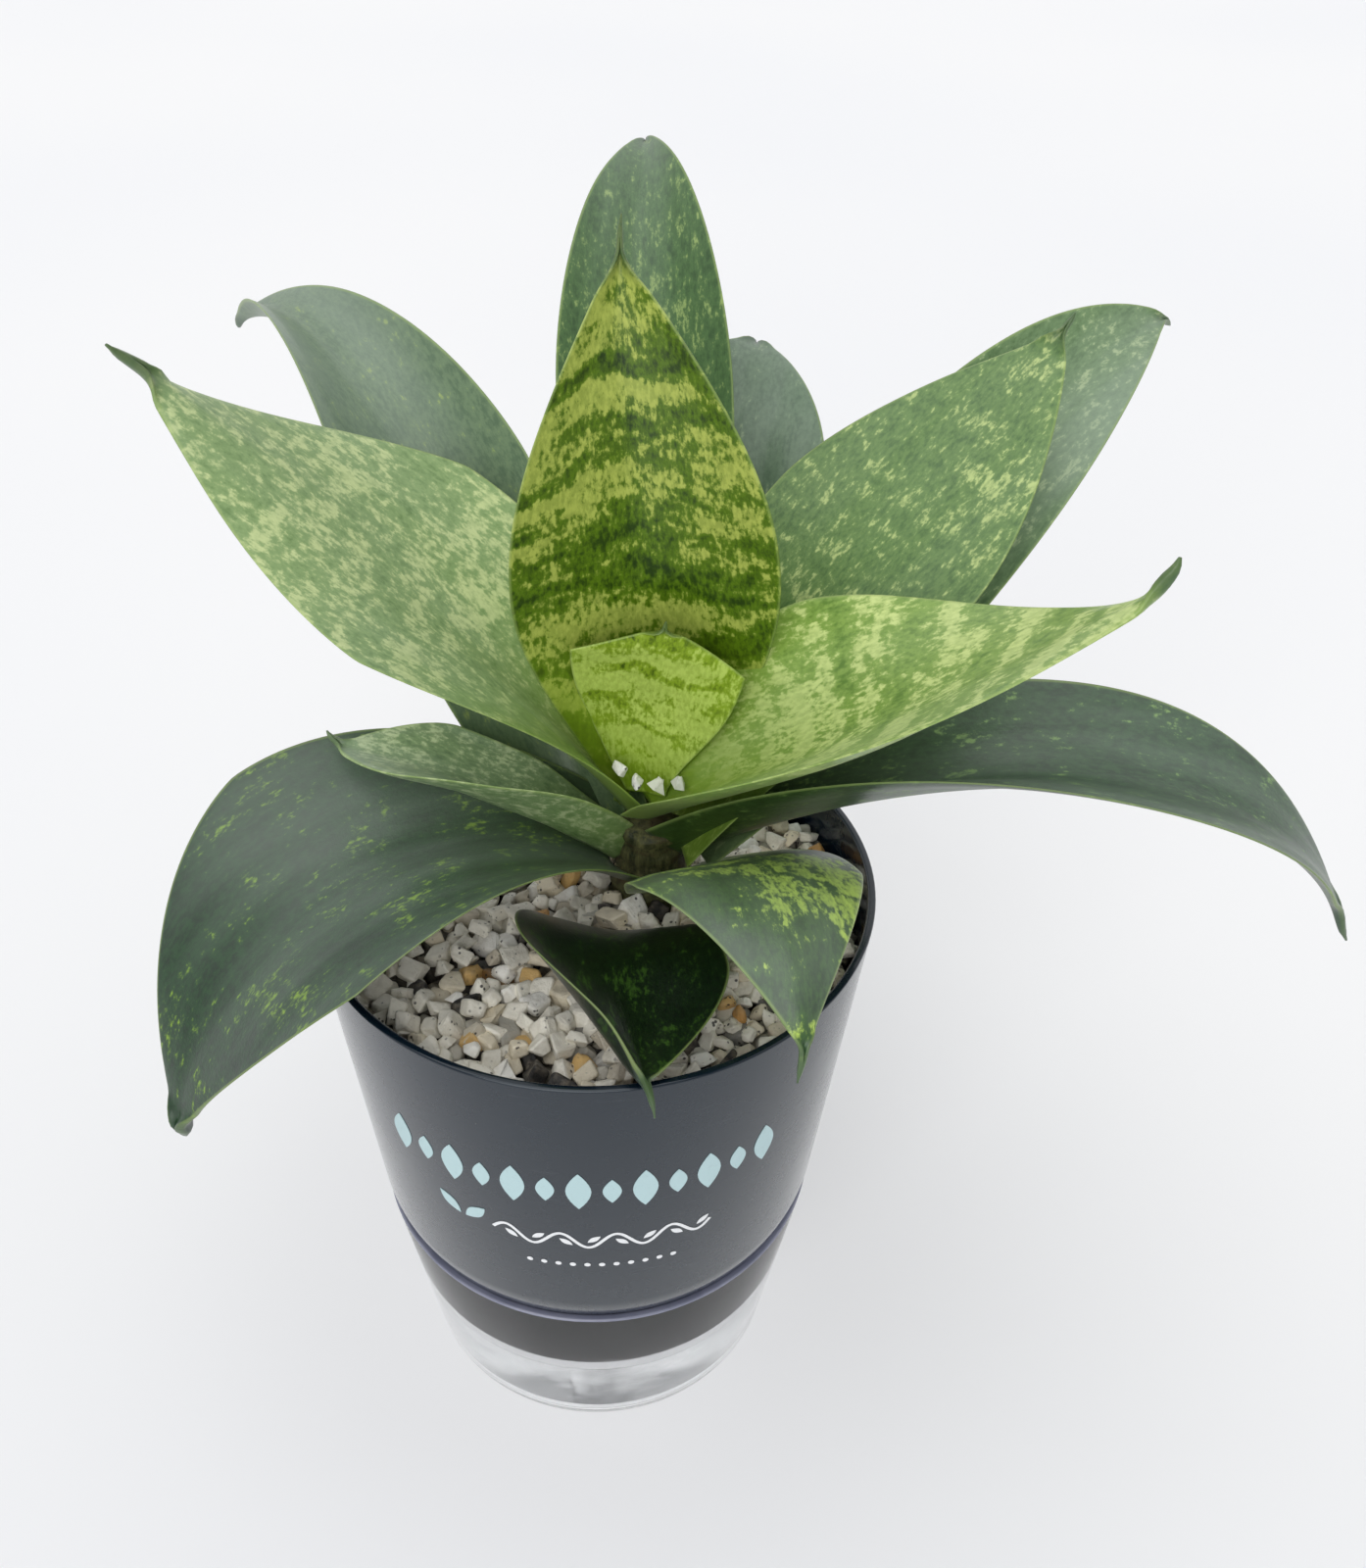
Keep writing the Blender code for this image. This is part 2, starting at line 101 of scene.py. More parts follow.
def rgb(red, green, blue):
    """A colour given as 0 to 255 screen values, as the linear one that Blender uses."""
    linear = []
    for value in (red, green, blue):
        share = value / 255
        linear.append(share / 12.92 if share <= 0.04045 else ((share + 0.055) / 1.055) ** 2.4)
    return tuple(linear)


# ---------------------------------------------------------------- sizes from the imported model

POT_LOW, POT_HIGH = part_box("planter_pot")
RESERVOIR_LOW, RESERVOIR_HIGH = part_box("water_reservoir")
WATER_LOW, WATER_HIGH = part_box("reservoir_water")
GRAVEL_LOW, GRAVEL_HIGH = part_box("gravel_bed")
STEM_LOW, STEM_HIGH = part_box("plant_stem")

RIM_RADIUS = POT_HIGH.x
POT_HEIGHT = POT_HIGH.z
SEAM_HEIGHT = RESERVOIR_HIGH.z
SEAM_RADIUS = RESERVOIR_HIGH.x
GRAVEL_BELOW_RIM = 0.010
CROWN_OVER_GRAVEL = 0.014
GRAVEL_TOP = POT_HEIGHT - GRAVEL_BELOW_RIM
CROWN = Vector((0.012, 0.010, GRAVEL_TOP + CROWN_OVER_GRAVEL))


# ---------------------------------------------------------------- leaves

# Each leaf, from the innermost outwards. start is where it leaves the crown (mm from the
# crown's centre), heading and turn are the way it grows seen from above and how far that
# swings by the tip, slope is at base, half-way and tip, length and width are in mm, roll and
# channel (how far each half is folded up) are at base and tip, and outline is the base's
# share of the width, where along the leaf it is widest, and how full the tip is.
Leaf = namedtuple("Leaf", "start heading turn slope length width roll channel outline spine")
LEAVES = {
    "centre_young_leaf": Leaf(
        start=(-0.6, -0.3, 12.5), heading=112, turn=-6, slope=(75, 105, 111),
        length=50, width=36, roll=(-51, -15), channel=(20, 2), outline=(0.25, 0.8, 1.02), spine=3,
    ),
    "centre_tall_leaf": Leaf(
        start=(-1, 5, 4), heading=79, turn=-12, slope=(86, 100, 101),
        length=133, width=57, roll=(12, 29), channel=(4, 43), outline=(0.2, 0.52, 2.3), spine=6,
    ),
    "left_upper_leaf": Leaf(
        start=(-5, 4, 4), heading=171, turn=19, slope=(54, 47, 45),
        length=137, width=59, roll=(-23, -24), channel=(68, -29), outline=(0.3, 0.55, 1.2), spine=8,
    ),
    "right_upper_leaf": Leaf(
        start=(5, 2, 0), heading=21, turn=11, slope=(64, 48, 43),
        length=137, width=54, roll=(27, 15), channel=(36, -8), outline=(0.56, 0.56, 1.7), spine=3,
    ),
    "right_lower_leaf": Leaf(
        start=(1, -2, 8), heading=-31, turn=4, slope=(41, 42, 45),
        length=130, width=63, roll=(32, -4), channel=(60, -6), outline=(0.28, 0.4, 1.34), spine=4,
    ),
    "back_tall_leaf": Leaf(
        start=(2, 9, -2), heading=99, turn=-7, slope=(46, 60, 4),
        length=169, width=45, roll=(5, -14), channel=(33, 30), outline=(0.38, 0.56, 1.8), spine=1.5,
    ),
    "back_small_leaf": Leaf(
        start=(4, 9, -4), heading=76, turn=6, slope=(28, 55, -7),
        length=129, width=48, roll=(2, 12), channel=(23, 13), outline=(0.54, 0.54, 2.3), spine=1.5,
    ),
    "left_far_leaf": Leaf(
        start=(-9, 4, -3), heading=139, turn=-7, slope=(43, 41, -35),
        length=177, width=48, roll=(-51, 8), channel=(27, 42), outline=(0.5, 0.46, 1.4), spine=4,
    ),
    "right_far_leaf": Leaf(
        start=(8, 3, -3), heading=28, turn=18, slope=(41, 42, -4),
        length=173, width=45, roll=(27, 37), channel=(30, 17), outline=(0.54, 0.44, 2.2), spine=3,
    ),
    "right_drooping_leaf": Leaf(
        start=(7, -2, -3), heading=-18, turn=24, slope=(39, 6, -67),
        length=169, width=42, roll=(-3, 10), channel=(58, 7), outline=(0.54, 0.46, 2.1), spine=8,
    ),
    "left_drooping_leaf": Leaf(
        start=(-10, -4, -6), heading=200, turn=20, slope=(38, -19, -80),
        length=129, width=70, roll=(-6, -9), channel=(34, 8), outline=(0.2, 0.53, 1.2), spine=4,
    ),
    "left_small_leaf": Leaf(
        start=(-8, -3, -4), heading=205, turn=-41, slope=(48, 27, 3),
        length=70, width=27, roll=(26, -4), channel=(61, 16), outline=(0.48, 0.65, 1.6), spine=3,
    ),
    "front_drooping_leaf": Leaf(
        start=(5, -7, -8), heading=-60, turn=-22, slope=(39, 31, -64),
        length=96, width=46, roll=(2, -14), channel=(6, -12), outline=(0.46, 0.54, 1.2), spine=6,
    ),
    "front_low_leaf": Leaf(
        start=(-7, -20, -14), heading=-94, turn=25, slope=(58, 0, 32),
        length=59, width=48, roll=(2, -37), channel=(9, 41), outline=(0.51, 0.46, 1.8), spine=8,
    ),
}

# How each leaf is coloured: its deep, middle and pale greens, how much of it is pale, how far
# the pale patches line up in cross bands, how grey it goes with its waxy bloom and the sheen painted
# on its sky-facing faces, how yellow its base, and how fine the pattern is.
Look = namedtuple("Look", "deep middle pale cover bands bloom base grain")
LOOKS = {
    "centre_young_leaf": Look((58, 84, 4), (140, 168, 40), (190, 212, 104), 0.74, 2.2, 0.0, 0.5, 1.2),
    "centre_tall_leaf": Look((22, 50, 0), (88, 120, 14), (182, 194, 92), 0.55, 2.0, 0.0, 1.0, 1.25),
    "left_upper_leaf": Look((90, 124, 60), (134, 162, 100), (196, 210, 146), 0.50, 0.6, 0.22, 1.0, 1.2),
    "right_upper_leaf": Look((58, 96, 34), (98, 132, 64), (184, 202, 126), 0.38, 0.8, 0.10, 0.7, 1.0),
    "right_lower_leaf": Look((84, 122, 28), (132, 164, 70), (204, 220, 138), 0.56, 1.3, 0.12, 1.0, 1.1),
    "back_tall_leaf": Look((36, 72, 24), (70, 106, 52), (146, 170, 98), 0.30, 0.3, 0.12, 0.3, 1.1),
    "back_small_leaf": Look((58, 90, 58), (94, 122, 90), (150, 170, 128), 0.24, 0.0, 0.24, 0.2, 1.0),
    "left_far_leaf": Look((76, 102, 74), (104, 128, 94), (156, 176, 90), 0.22, 0.3, 0.28, 0.1, 1.0),
    "right_far_leaf": Look((66, 102, 46), (104, 136, 84), (172, 192, 138), 0.38, 0.3, 0.26, 0.3, 1.0),
    "right_drooping_leaf": Look((10, 42, 16), (40, 74, 38), (124, 158, 84), 0.28, 0.3, 0.16, 0.2, 0.8),
    "left_drooping_leaf": Look((2, 30, 10), (20, 58, 24), (124, 158, 34), 0.27, 0.5, 0.13, 0.1, 0.5),
    "left_small_leaf": Look((84, 114, 66), (136, 162, 110), (204, 218, 168), 0.50, 0.5, 0.24, 0.3, 1.0),
    "front_drooping_leaf": Look((8, 42, 2), (48, 84, 22), (178, 206, 84), 0.36, 1.6, 0.14, 0.3, 0.85),
    # Painted shade: the front low leaf's greens are set near black, for the shade it lies in low at the
    # front.
    "front_low_leaf": Look((0, 14, 2), (8, 32, 6), (50, 84, 20), 0.36, 0.3, 0.0, 0.0, 0.7),
}

# The leaves' tips: the spine's radius where it leaves the blade, in mm, and how far it curls
# up out of the blade and to its right, in degrees.
Tip = namedtuple("Tip", "radius lift swing")
TIPS = {
    "centre_young_leaf": Tip(0.8, 20, 0),
    "centre_tall_leaf": Tip(0.9, 8, 10),
    "left_upper_leaf": Tip(1.9, 30, -30),
    "right_upper_leaf": Tip(1.0, 30, 0),
    "right_lower_leaf": Tip(1.6, 45, -20),
    "back_tall_leaf": Tip(1.6, -30, 0),
    "back_small_leaf": Tip(1.6, -30, 0),
    "left_far_leaf": Tip(1.7, 0, 10),
    "right_far_leaf": Tip(1.2, -20, 20),
    "right_drooping_leaf": Tip(1.5, 10, 0),
    "left_drooping_leaf": Tip(3.4, 0, 0),
    "left_small_leaf": Tip(1.3, 50, 30),
    "front_drooping_leaf": Tip(1.3, -10, 10),
    "front_low_leaf": Tip(1.3, -50, -30),
}
CURL_FROM = 0.93

# Lengthwise folds in a blade: depth in mm, how many across, and the shares of the length that
# they run between.
RIDGES = {
    "left_drooping_leaf": (1.3, 2.2, 0.06, 0.60),
    "back_small_leaf": (0.5, 3.5, 0.3, 1.0),
    "back_tall_leaf": (0.35, 3.0, 0.3, 1.0),
    "right_drooping_leaf": (0.4, 2.4, 0.2, 0.8),
    "left_far_leaf": (0.3, 2.0, 0.3, 0.9),
}

AROUND = 44
ALONG = 110
CHANNEL_POWER = 1.5


def between(first, second, share):
    return first + (second - first) * share


def smooth_step(low, high, value):
    share = min(max((value - low) / (high - low), 0.0), 1.0)
    return share * share * (3 - 2 * share)


def leaf_end(leaf):
    return 1 + leaf.spine / leaf.length


def leaf_frames(leaf, tip_end, steps):
    """Points along the midrib and on through the spine, with along, across and up there."""
    length = leaf.length / 1000
    end = leaf_end(leaf)
    point = CROWN + Vector(leaf.start) / 1000
    frames = []
    last = None
    for i in range(steps + 1):
        s = end * i / steps
        held = min(s, 1.0)
        heading = math.radians(leaf.heading + leaf.turn * held)
        base, middle, tip = leaf.slope
        slope = base * (1 - held) * (1 - 2 * held) + middle * 4 * held * (1 - held)
        slope = math.radians(slope + tip * held * (2 * held - 1))
        level = math.cos(slope)
        along = Vector((level * math.cos(heading), level * math.sin(heading), math.sin(slope)))
        side = Vector((math.sin(heading), -math.cos(heading), 0.0))
        up = side.cross(along)
        roll = math.radians(between(*leaf.roll, held))
        across = side * math.cos(roll) - up * math.sin(roll)
        up = side * math.sin(roll) + up * math.cos(roll)
        curl = max((s - CURL_FROM) / (end - CURL_FROM), 0.0) ** 1.5
        lift = Matrix.Rotation(math.radians(tip_end.lift) * curl, 3, across)
        swing = Matrix.Rotation(-math.radians(tip_end.swing) * curl, 3, up)
        along, across, up = (swing @ lift @ way for way in (along, across, up))
        if last is not None:
            point = point + (along + last) * (0.5 * length * end / steps)
        last = along
        frames.append((s, point, along, across, up))
    return frames


def half_width(leaf, tip_end, s):
    """Half the blade's width, running smoothly into the round spine."""
    base, widest, fullness = leaf.outline
    if s < widest:
        share = base + (1 - base) * math.sin(math.pi / 2 * s / widest)
    else:
        share = 1 - min((s - widest) / (1 - widest), 1.0) ** fullness
    blade = leaf.width / 2000 * share
    spine = tip_end.radius / 1000
    if s < 1:
        spine *= 1 + 4 * (1 - s)
    else:
        spine *= max(1 - (s - 1) / (leaf_end(leaf) - 1), 0.1) ** 0.8
    return (blade ** 3 + spine ** 3) ** (1 / 3)


def blade_mesh(leaf, tip_end, ridges, thick, edge, seed):
    """A flat grid rolled round the leaf's section and stretched along its midrib."""
    bm = bmesh.new()
    bmesh.ops.create_grid(bm, x_segments=AROUND, y_segments=ALONG, size=0.5)
    metres = bm.loops.layers.uv.new("blade")
    shares = bm.loops.layers.uv.new("shares")
    under = bm.verts.layers.float.new("underside")
    skyward = bm.verts.layers.float.new("skyward")
    frames = leaf_frames(leaf, tip_end, ALONG)
    across_of = {}
    for vert in bm.verts:
        turn = math.tau * (vert.co.x + 0.5)
        step = round((vert.co.y + 0.5) * ALONG)
        s, point, along, across, up = frames[step]
        u = -math.cos(turn)
        lift = math.sin(turn)
        half = half_width(leaf, tip_end, s)
        fold = math.radians(between(*leaf.channel, min(s, 1.0)))
        fold = between(fold, math.radians(60), smooth_step(0.95, 1.0, s))
        belly = edge + (thick - edge) * (1 - u * u)
        belly = min(between(belly, tip_end.radius / 1000, smooth_step(0.85, 1.0, s)) / 2, half)
        swell = math.copysign(abs(lift) ** 0.55, lift) * belly
        ripple = noise.noise(Vector((u * 1.3, s * 4.0, seed * 7.3))) * 0.0009
        ripple += noise.noise(Vector((u * 5.0, s * 1.5, seed * 3.1))) * 0.0003
        ripple *= smooth_step(0.0, 0.25, s) * smooth_step(1.0, 0.8, s)
        if ridges:
            depth, number, first, last = ridges
            centre = (first + last) / 2
            held = smooth_step(first, centre, s) * smooth_step(last, centre, s)
            wave = math.cos(math.pi * number * (u + 0.25 * math.sin(s * 5))) * (1 - u * u)
            ripple += depth / 1000 * held * wave
        middle = point + across * (u * half * math.cos(fold))
        middle += up * (abs(u) ** CHANNEL_POWER * half * math.sin(fold) + ripple)
        lean = fold * abs(u) * 0.9
        out = up * math.cos(lean) - across * math.copysign(math.sin(lean), u)
        vert[under] = 1.0 if lift < -0.02 else 0.0
        vert[skyward] = math.copysign(out.z, lift)
        across_of[vert] = (u, half, s)
        vert.co = middle + out * swell
    for face in bm.faces:
        face.smooth = True
        for loop in face.loops:
            u, half, s = across_of[loop.vert]
            loop[metres].uv = (u * half, s * leaf.length / 1000)
            loop[shares].uv = ((1 - abs(u)) * half, s)
    bmesh.ops.remove_doubles(bm, verts=bm.verts[:], dist=1e-7)
    open_edges = [edge_ for edge_ in bm.edges if edge_.is_boundary]
    bmesh.ops.holes_fill(bm, edges=open_edges, sides=0)
    bmesh.ops.recalc_face_normals(bm, faces=bm.faces[:])
    return bm


# ---------------------------------------------------------------- pieces and shader nodes


def add_piece(name, bm, materials, replaces=()):
    """Make a bmesh a piece of the object, riding on the body and hiding the model parts it replaces."""
    mesh = bpy.data.meshes.new(name)
    bm.to_mesh(mesh)
    bm.free()
    for material in materials:
        mesh.materials.append(material)
    obj = bpy.data.objects.new(name, mesh)
    bpy.context.scene.collection.objects.link(obj)
    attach(obj, BODY)
    if replaces:
        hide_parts(*replaces)
    return obj


def node(tree, kind, inputs=None, **settings):
    """Add a shader node. inputs gives each socket a value or the output that feeds it."""
    made = tree.nodes.new("ShaderNode" + kind)
    for key, value in settings.items():
        setattr(made, key, value)
    for key, value in (inputs or {}).items():
        if isinstance(value, bpy.types.NodeSocket):
            tree.links.new(value, made.inputs[key])
        else:
            made.inputs[key].default_value = value
    return made


def calc(tree, operation, *values, clamp=False):
    made = node(tree, "Math", dict(enumerate(values)), operation=operation, use_clamp=clamp)
    return made.outputs[0]


def blend(tree, share, first, second, kind="MIX"):
    """Mix two colours; plain colours are given as three linear numbers."""
    ends = [value if isinstance(value, bpy.types.NodeSocket) else (*value, 1.0)
            for value in (first, second)]
    inputs = {0: share, 6: ends[0], 7: ends[1]}
    return node(tree, "Mix", inputs, data_type="RGBA", blend_type=kind).outputs[2]


def scaled(tree, vector, scale):
    return node(tree, "Mapping", {"Vector": vector, "Scale": scale}).outputs[0]


def cloud(tree, vector, scale, detail=2.0, rough=0.5):
    inputs = {"Vector": vector, "Scale": scale, "Detail": detail, "Roughness": rough}
    return node(tree, "TexNoise", inputs).outputs[0]


def fade(tree, value, low, high, first=0.0, second=1.0):
    """Run smoothly from first to second as value goes from low to high."""
    inputs = {"Value": value, "From Min": low, "From Max": high,
              "To Min": first, "To Max": second}
    return node(tree, "MapRange", inputs, interpolation_type="SMOOTHSTEP").outputs[0]


def new_group(name, sockets_in, sockets_out):
    """An empty node group. Sockets are given as name: (kind, default)."""
    group = bpy.data.node_groups.new(name, "ShaderNodeTree")
    for title, (kind, default) in sockets_in.items():
        socket = group.interface.new_socket(title, in_out="INPUT", socket_type=kind)
        if default is not None:
            socket.default_value = default
    for title, kind in sockets_out.items():
        group.interface.new_socket(title, in_out="OUTPUT", socket_type=kind)
    return group, group.nodes.new("NodeGroupInput"), group.nodes.new("NodeGroupOutput")


def place_group(tree, group, inputs):
    made = tree.nodes.new("ShaderNodeGroup")
    made.node_tree = group
    for key, value in inputs.items():
        if isinstance(value, bpy.types.NodeSocket):
            tree.links.new(value, made.inputs[key])
        else:
            made.inputs[key].default_value = value
    return made.outputs


def new_material(name):
    """A material with its shader, and the node tree to build on."""
    material = bpy.data.materials.new(name)
    material.use_nodes = True
    tree = material.node_tree
    return material, tree, tree.nodes["Principled BSDF"]


def set_shader(tree, shader, **inputs):
    for key, value in inputs.items():
        socket = shader.inputs[key.replace("_", " ").title().replace("Ior", "IOR")]
        if isinstance(value, bpy.types.NodeSocket):
            tree.links.new(value, socket)
        elif socket.type == "RGBA":
            socket.default_value = (*value, 1.0)
        else:
            socket.default_value = value


def bump(tree, height, distance, strength=1.0):
    inputs = {"Height": height, "Distance": distance, "Strength": strength}
    return node(tree, "Bump", inputs).outputs[0]


FLOAT, COLOUR, VECTOR = "NodeSocketFloat", "NodeSocketColor", "NodeSocketVector"


def leaf_pattern():
    """Mottling of one leaf: ragged pale patches in loose cross bands over two greens."""
    name = "leaf_mottle"
    if name in bpy.data.node_groups:
        return bpy.data.node_groups[name]
    group, given, result = new_group(
        name,
        {"Blade": (VECTOR, None), "Shares": (VECTOR, None), "Underside": (FLOAT, 0.0),
         "Deep": (COLOUR, (0.02, 0.06, 0.01, 1)), "Middle": (COLOUR, (0.08, 0.16, 0.03, 1)),
         "Pale": (COLOUR, (0.4, 0.5, 0.15, 1)), "Cover": (FLOAT, 0.4), "Bands": (FLOAT, 1.0),
         "Bloom": (FLOAT, 0.2), "Yellow Base": (FLOAT, 0.5), "Grain": (FLOAT, 1.0),
         "Skyward": (FLOAT, 0.5), "Seed": (FLOAT, 0.0)},
        {"Color": COLOUR, "Roughness": FLOAT, "Height": FLOAT},
    )
    shift = node(group, "CombineXYZ", {2: given.outputs["Seed"]}).outputs[0]
    place = node(group, "VectorMath", {0: given.outputs["Blade"], 1: shift}, operation="ADD")
    place = place.outputs[0]
    fine = node(group, "VectorMath", {0: place, 3: given.outputs["Grain"]}, operation="SCALE")
    fine = fine.outputs[0]
    wander = cloud(group, scaled(group, place, (60, 30, 1)), 1.0, 2.0)
    wander = calc(group, "MULTIPLY_ADD", wander, 0.016, -0.008)
    lift = node(group, "CombineXYZ", {1: wander}).outputs[0]
    swayed = node(group, "VectorMath", {0: place, 1: lift}, operation="ADD").outputs[0]
    belts = cloud(group, scaled(group, swayed, (26, 120, 1)), 1.0, 3.0, 0.55)
    spots = cloud(group, scaled(group, fine, (270, 190, 1)), 1.0, 8.0, 0.74)
    flecks = cloud(group, scaled(group, place, (1100, 480, 1)), 1.0, 3.0, 0.6)
    streaks = cloud(group, scaled(group, place, (420, 26, 1)), 1.0, 3.0, 0.6)
    pull = calc(group, "MULTIPLY", given.outputs["Bands"], 0.75)
    belts = calc(group, "MULTIPLY", calc(group, "SUBTRACT", belts, 0.5), pull)
    value = calc(group, "ADD", belts, calc(group, "MULTIPLY", spots, 0.9))
    value = calc(group, "MULTIPLY_ADD", flecks, 0.56, value)
    value = calc(group, "MULTIPLY_ADD", streaks, 0.22, value)
    line = calc(group, "MULTIPLY_ADD", given.outputs["Cover"], -0.42, 1.05)
    pale = fade(group, calc(group, "SUBTRACT", value, line), -0.03, 0.12)
    some = fade(group, calc(group, "SUBTRACT", value, line), -0.30, -0.02)
    flecked = fade(group, flecks, 0.40, 0.66)
    broad = cloud(group, scaled(group, place, (36, 22, 1)), 1.0, 3.0)
    shade = calc(group, "MULTIPLY_ADD", broad, 0.4, -0.12)
    shade = calc(group, "MULTIPLY_ADD", some, 0.75, shade)
    shade = calc(group, "MULTIPLY_ADD", flecked, 0.3, shade, clamp=True)
    colour = blend(group, shade, given.outputs["Deep"], given.outputs["Middle"])
    pale_tone = calc(group, "MULTIPLY_ADD", flecked, 0.35, 0.62)
    colour = blend(group, calc(group, "MULTIPLY", pale, pale_tone), colour, given.outputs["Pale"])
    split = node(group, "SeparateXYZ", {0: given.outputs["Shares"]})
    from_margin, along = split.outputs[0], split.outputs[1]
    young = fade(group, along, 0.46, 0.04)
    young = calc(group, "MULTIPLY", young, given.outputs["Yellow Base"])
    young = calc(group, "MULTIPLY", young, fade(group, streaks, 0.2, 0.75, 0.6, 1.0))
    colour = blend(group, young, colour, rgb(134, 164, 36))
    bands_along = cloud(group, scaled(group, place, (70, 10, 1)), 1.0, 3.0, 0.5)
    # Partly the leaf's waxy bloom, partly painted sheen: a grey green laid over the colour on the faces
    # turned up to the sky, where the overhead light gives a pale sheen.
    bloom_and_sheen_share = calc(group, "MULTIPLY", given.outputs["Bloom"], fade(group, bands_along, 0.30, 0.70, 0.5, 1.5))
    bloom_and_sheen_share = calc(group, "MULTIPLY", bloom_and_sheen_share, fade(group, given.outputs["Skyward"], 0.35, 1.0, 0.0, 1.5))
    colour = blend(group, bloom_and_sheen_share, colour, rgb(146, 160, 148))
    under = calc(group, "MULTIPLY", given.outputs["Underside"], 0.35)
    colour = blend(group, under, colour, given.outputs["Deep"])
    rim = fade(group, from_margin, 0.0007, 0.0002)
    colour = blend(group, calc(group, "MULTIPLY", rim, 0.45), colour, rgb(150, 172, 98))
    tip = fade(group, along, 0.95, 1.0)
    colour = blend(group, calc(group, "MULTIPLY", tip, 0.75), colour, rgb(48, 76, 50))
    group.links.new(colour, result.inputs["Color"])
    veins = cloud(group, scaled(group, place, (500, 14, 1)), 1.0, 2.0, 0.5)
    pits = cloud(group, scaled(group, place, (1500, 1300, 1)), 1.0, 2.0)
    height = calc(group, "MULTIPLY_ADD", veins, 0.4, calc(group, "MULTIPLY", pits, 0.3))
    height = calc(group, "MULTIPLY_ADD", broad, 0.5, height)
    group.links.new(height, result.inputs["Height"])
    gloss = calc(group, "MULTIPLY_ADD", spots, 0.22, 0.27)
    gloss = calc(group, "MULTIPLY_ADD", pale, 0.05, gloss)
    group.links.new(gloss, result.inputs["Roughness"])
    return group


def leaf_material(name, look, seed):
    material, tree, shader = new_material(name)
    blade = node(tree, "UVMap", uv_map="blade").outputs[0]
    shares = node(tree, "UVMap", uv_map="shares").outputs[0]
    under = node(tree, "Attribute", attribute_name="underside").outputs["Fac"]
    skyward = node(tree, "Attribute", attribute_name="skyward").outputs["Fac"]
    pattern = place_group(tree, leaf_pattern(), {
        "Blade": blade, "Shares": shares, "Underside": under,
        "Deep": (*rgb(*look.deep), 1.0), "Middle": (*rgb(*look.middle), 1.0),
        "Pale": (*rgb(*look.pale), 1.0), "Cover": look.cover, "Bands": look.bands,
        "Bloom": look.bloom, "Yellow Base": look.base, "Grain": look.grain,
        "Skyward": skyward, "Seed": seed * 3.7,
    })
    normal = bump(tree, pattern["Height"], 0.00035, 0.6)
    set_shader(tree, shader, base_color=pattern["Color"], roughness=pattern["Roughness"],
               normal=normal, ior=1.48, coat_weight=0.15, coat_roughness=0.30,
               sheen_weight=0.03, sheen_roughness=0.45)
    return material


# ---------------------------------------------------------------- turned pieces


def turned(profile, closed=True, rounds=()):
    """Turn a profile of (radius, height) points about Z.

    rounds gives (size, [corner numbers]) pairs: those corners are rounded off first.
    """
    bm = bmesh.new()
    verts = [bm.verts.new((radius, 0.0, height)) for radius, height in profile]
    pairs = list(zip(verts, verts[1:]))
    if closed:
        pairs.append((verts[-1], verts[0]))
    for pair in pairs:
        bm.edges.new(pair)
    for size, corners in rounds:
        bmesh.ops.bevel(bm, geom=[verts[i] for i in corners], offset=size, segments=5,
                        profile=0.5, affect="VERTICES", material=-1)
    bmesh.ops.spin(bm, geom=bm.verts[:] + bm.edges[:], cent=(0, 0, 0), axis=(0, 0, 1),
                   angle=math.tau, steps=ROUND_STEPS, use_merge=True)
    bmesh.ops.remove_doubles(bm, verts=bm.verts[:], dist=1e-6)
    bmesh.ops.recalc_face_normals(bm, faces=bm.faces[:])
    for face in bm.faces:
        face.smooth = True
    return bm


def crease(bm, angle=30):
    """Keep the edges sharper than angle crisp under smooth shading."""
    for edge in bm.edges:
        if len(edge.link_faces) == 2 and edge.calc_face_angle(0) > math.radians(angle):
            edge.smooth = False


WALL = 0.0018
CUP_WALL = 0.002
CUP_FLOOR = 0.0025
BASE_RADIUS = 0.0458
NECK_DEPTH = 0.016
WELL_TOP_RADIUS = 0.0055
WELL_END_RADIUS = 0.0045
GAP = 0.0003


def cup_radius(height):
    return between(BASE_RADIUS, SEAM_RADIUS, height / SEAM_HEIGHT)


def pot_radius(height):
    share = (height - SEAM_HEIGHT) / (POT_HEIGHT - SEAM_HEIGHT)
    return between(SEAM_RADIUS, RIM_RADIUS, share)


def make_pot_mesh():
    seam = SEAM_HEIGHT + GAP
    neck = SEAM_HEIGHT - NECK_DEPTH
    neck_top = cup_radius(SEAM_HEIGHT) - CUP_WALL - GAP
    neck_end = cup_radius(neck) - CUP_WALL - GAP
    well = POT_LOW.z
    shoulder = SEAM_HEIGHT + WALL
    profile = [
        (RIM_RADIUS - WALL, POT_HEIGHT), (RIM_RADIUS, POT_HEIGHT),
        (pot_radius(seam + 0.006), seam + 0.006), (SEAM_RADIUS - 0.0012, seam),
        (neck_top, seam), (neck_end, neck),
        (WELL_TOP_RADIUS, neck), (WELL_END_RADIUS, well), (0.0, well),
        (0.0, well + WALL), (WELL_END_RADIUS - WALL, well + WALL),
        (WELL_TOP_RADIUS - WALL, neck + WALL), (neck_end - WALL, neck + WALL),
        (neck_top - WALL, shoulder), (pot_radius(shoulder + WALL) - WALL, shoulder + WALL),
    ]
    bm = turned(profile, rounds=[(0.0006, [0, 1]), (0.0016, [3]), (0.0008, [5, 7]),
                                 (0.002, [2])])
    crease(bm, 40)
    return bm


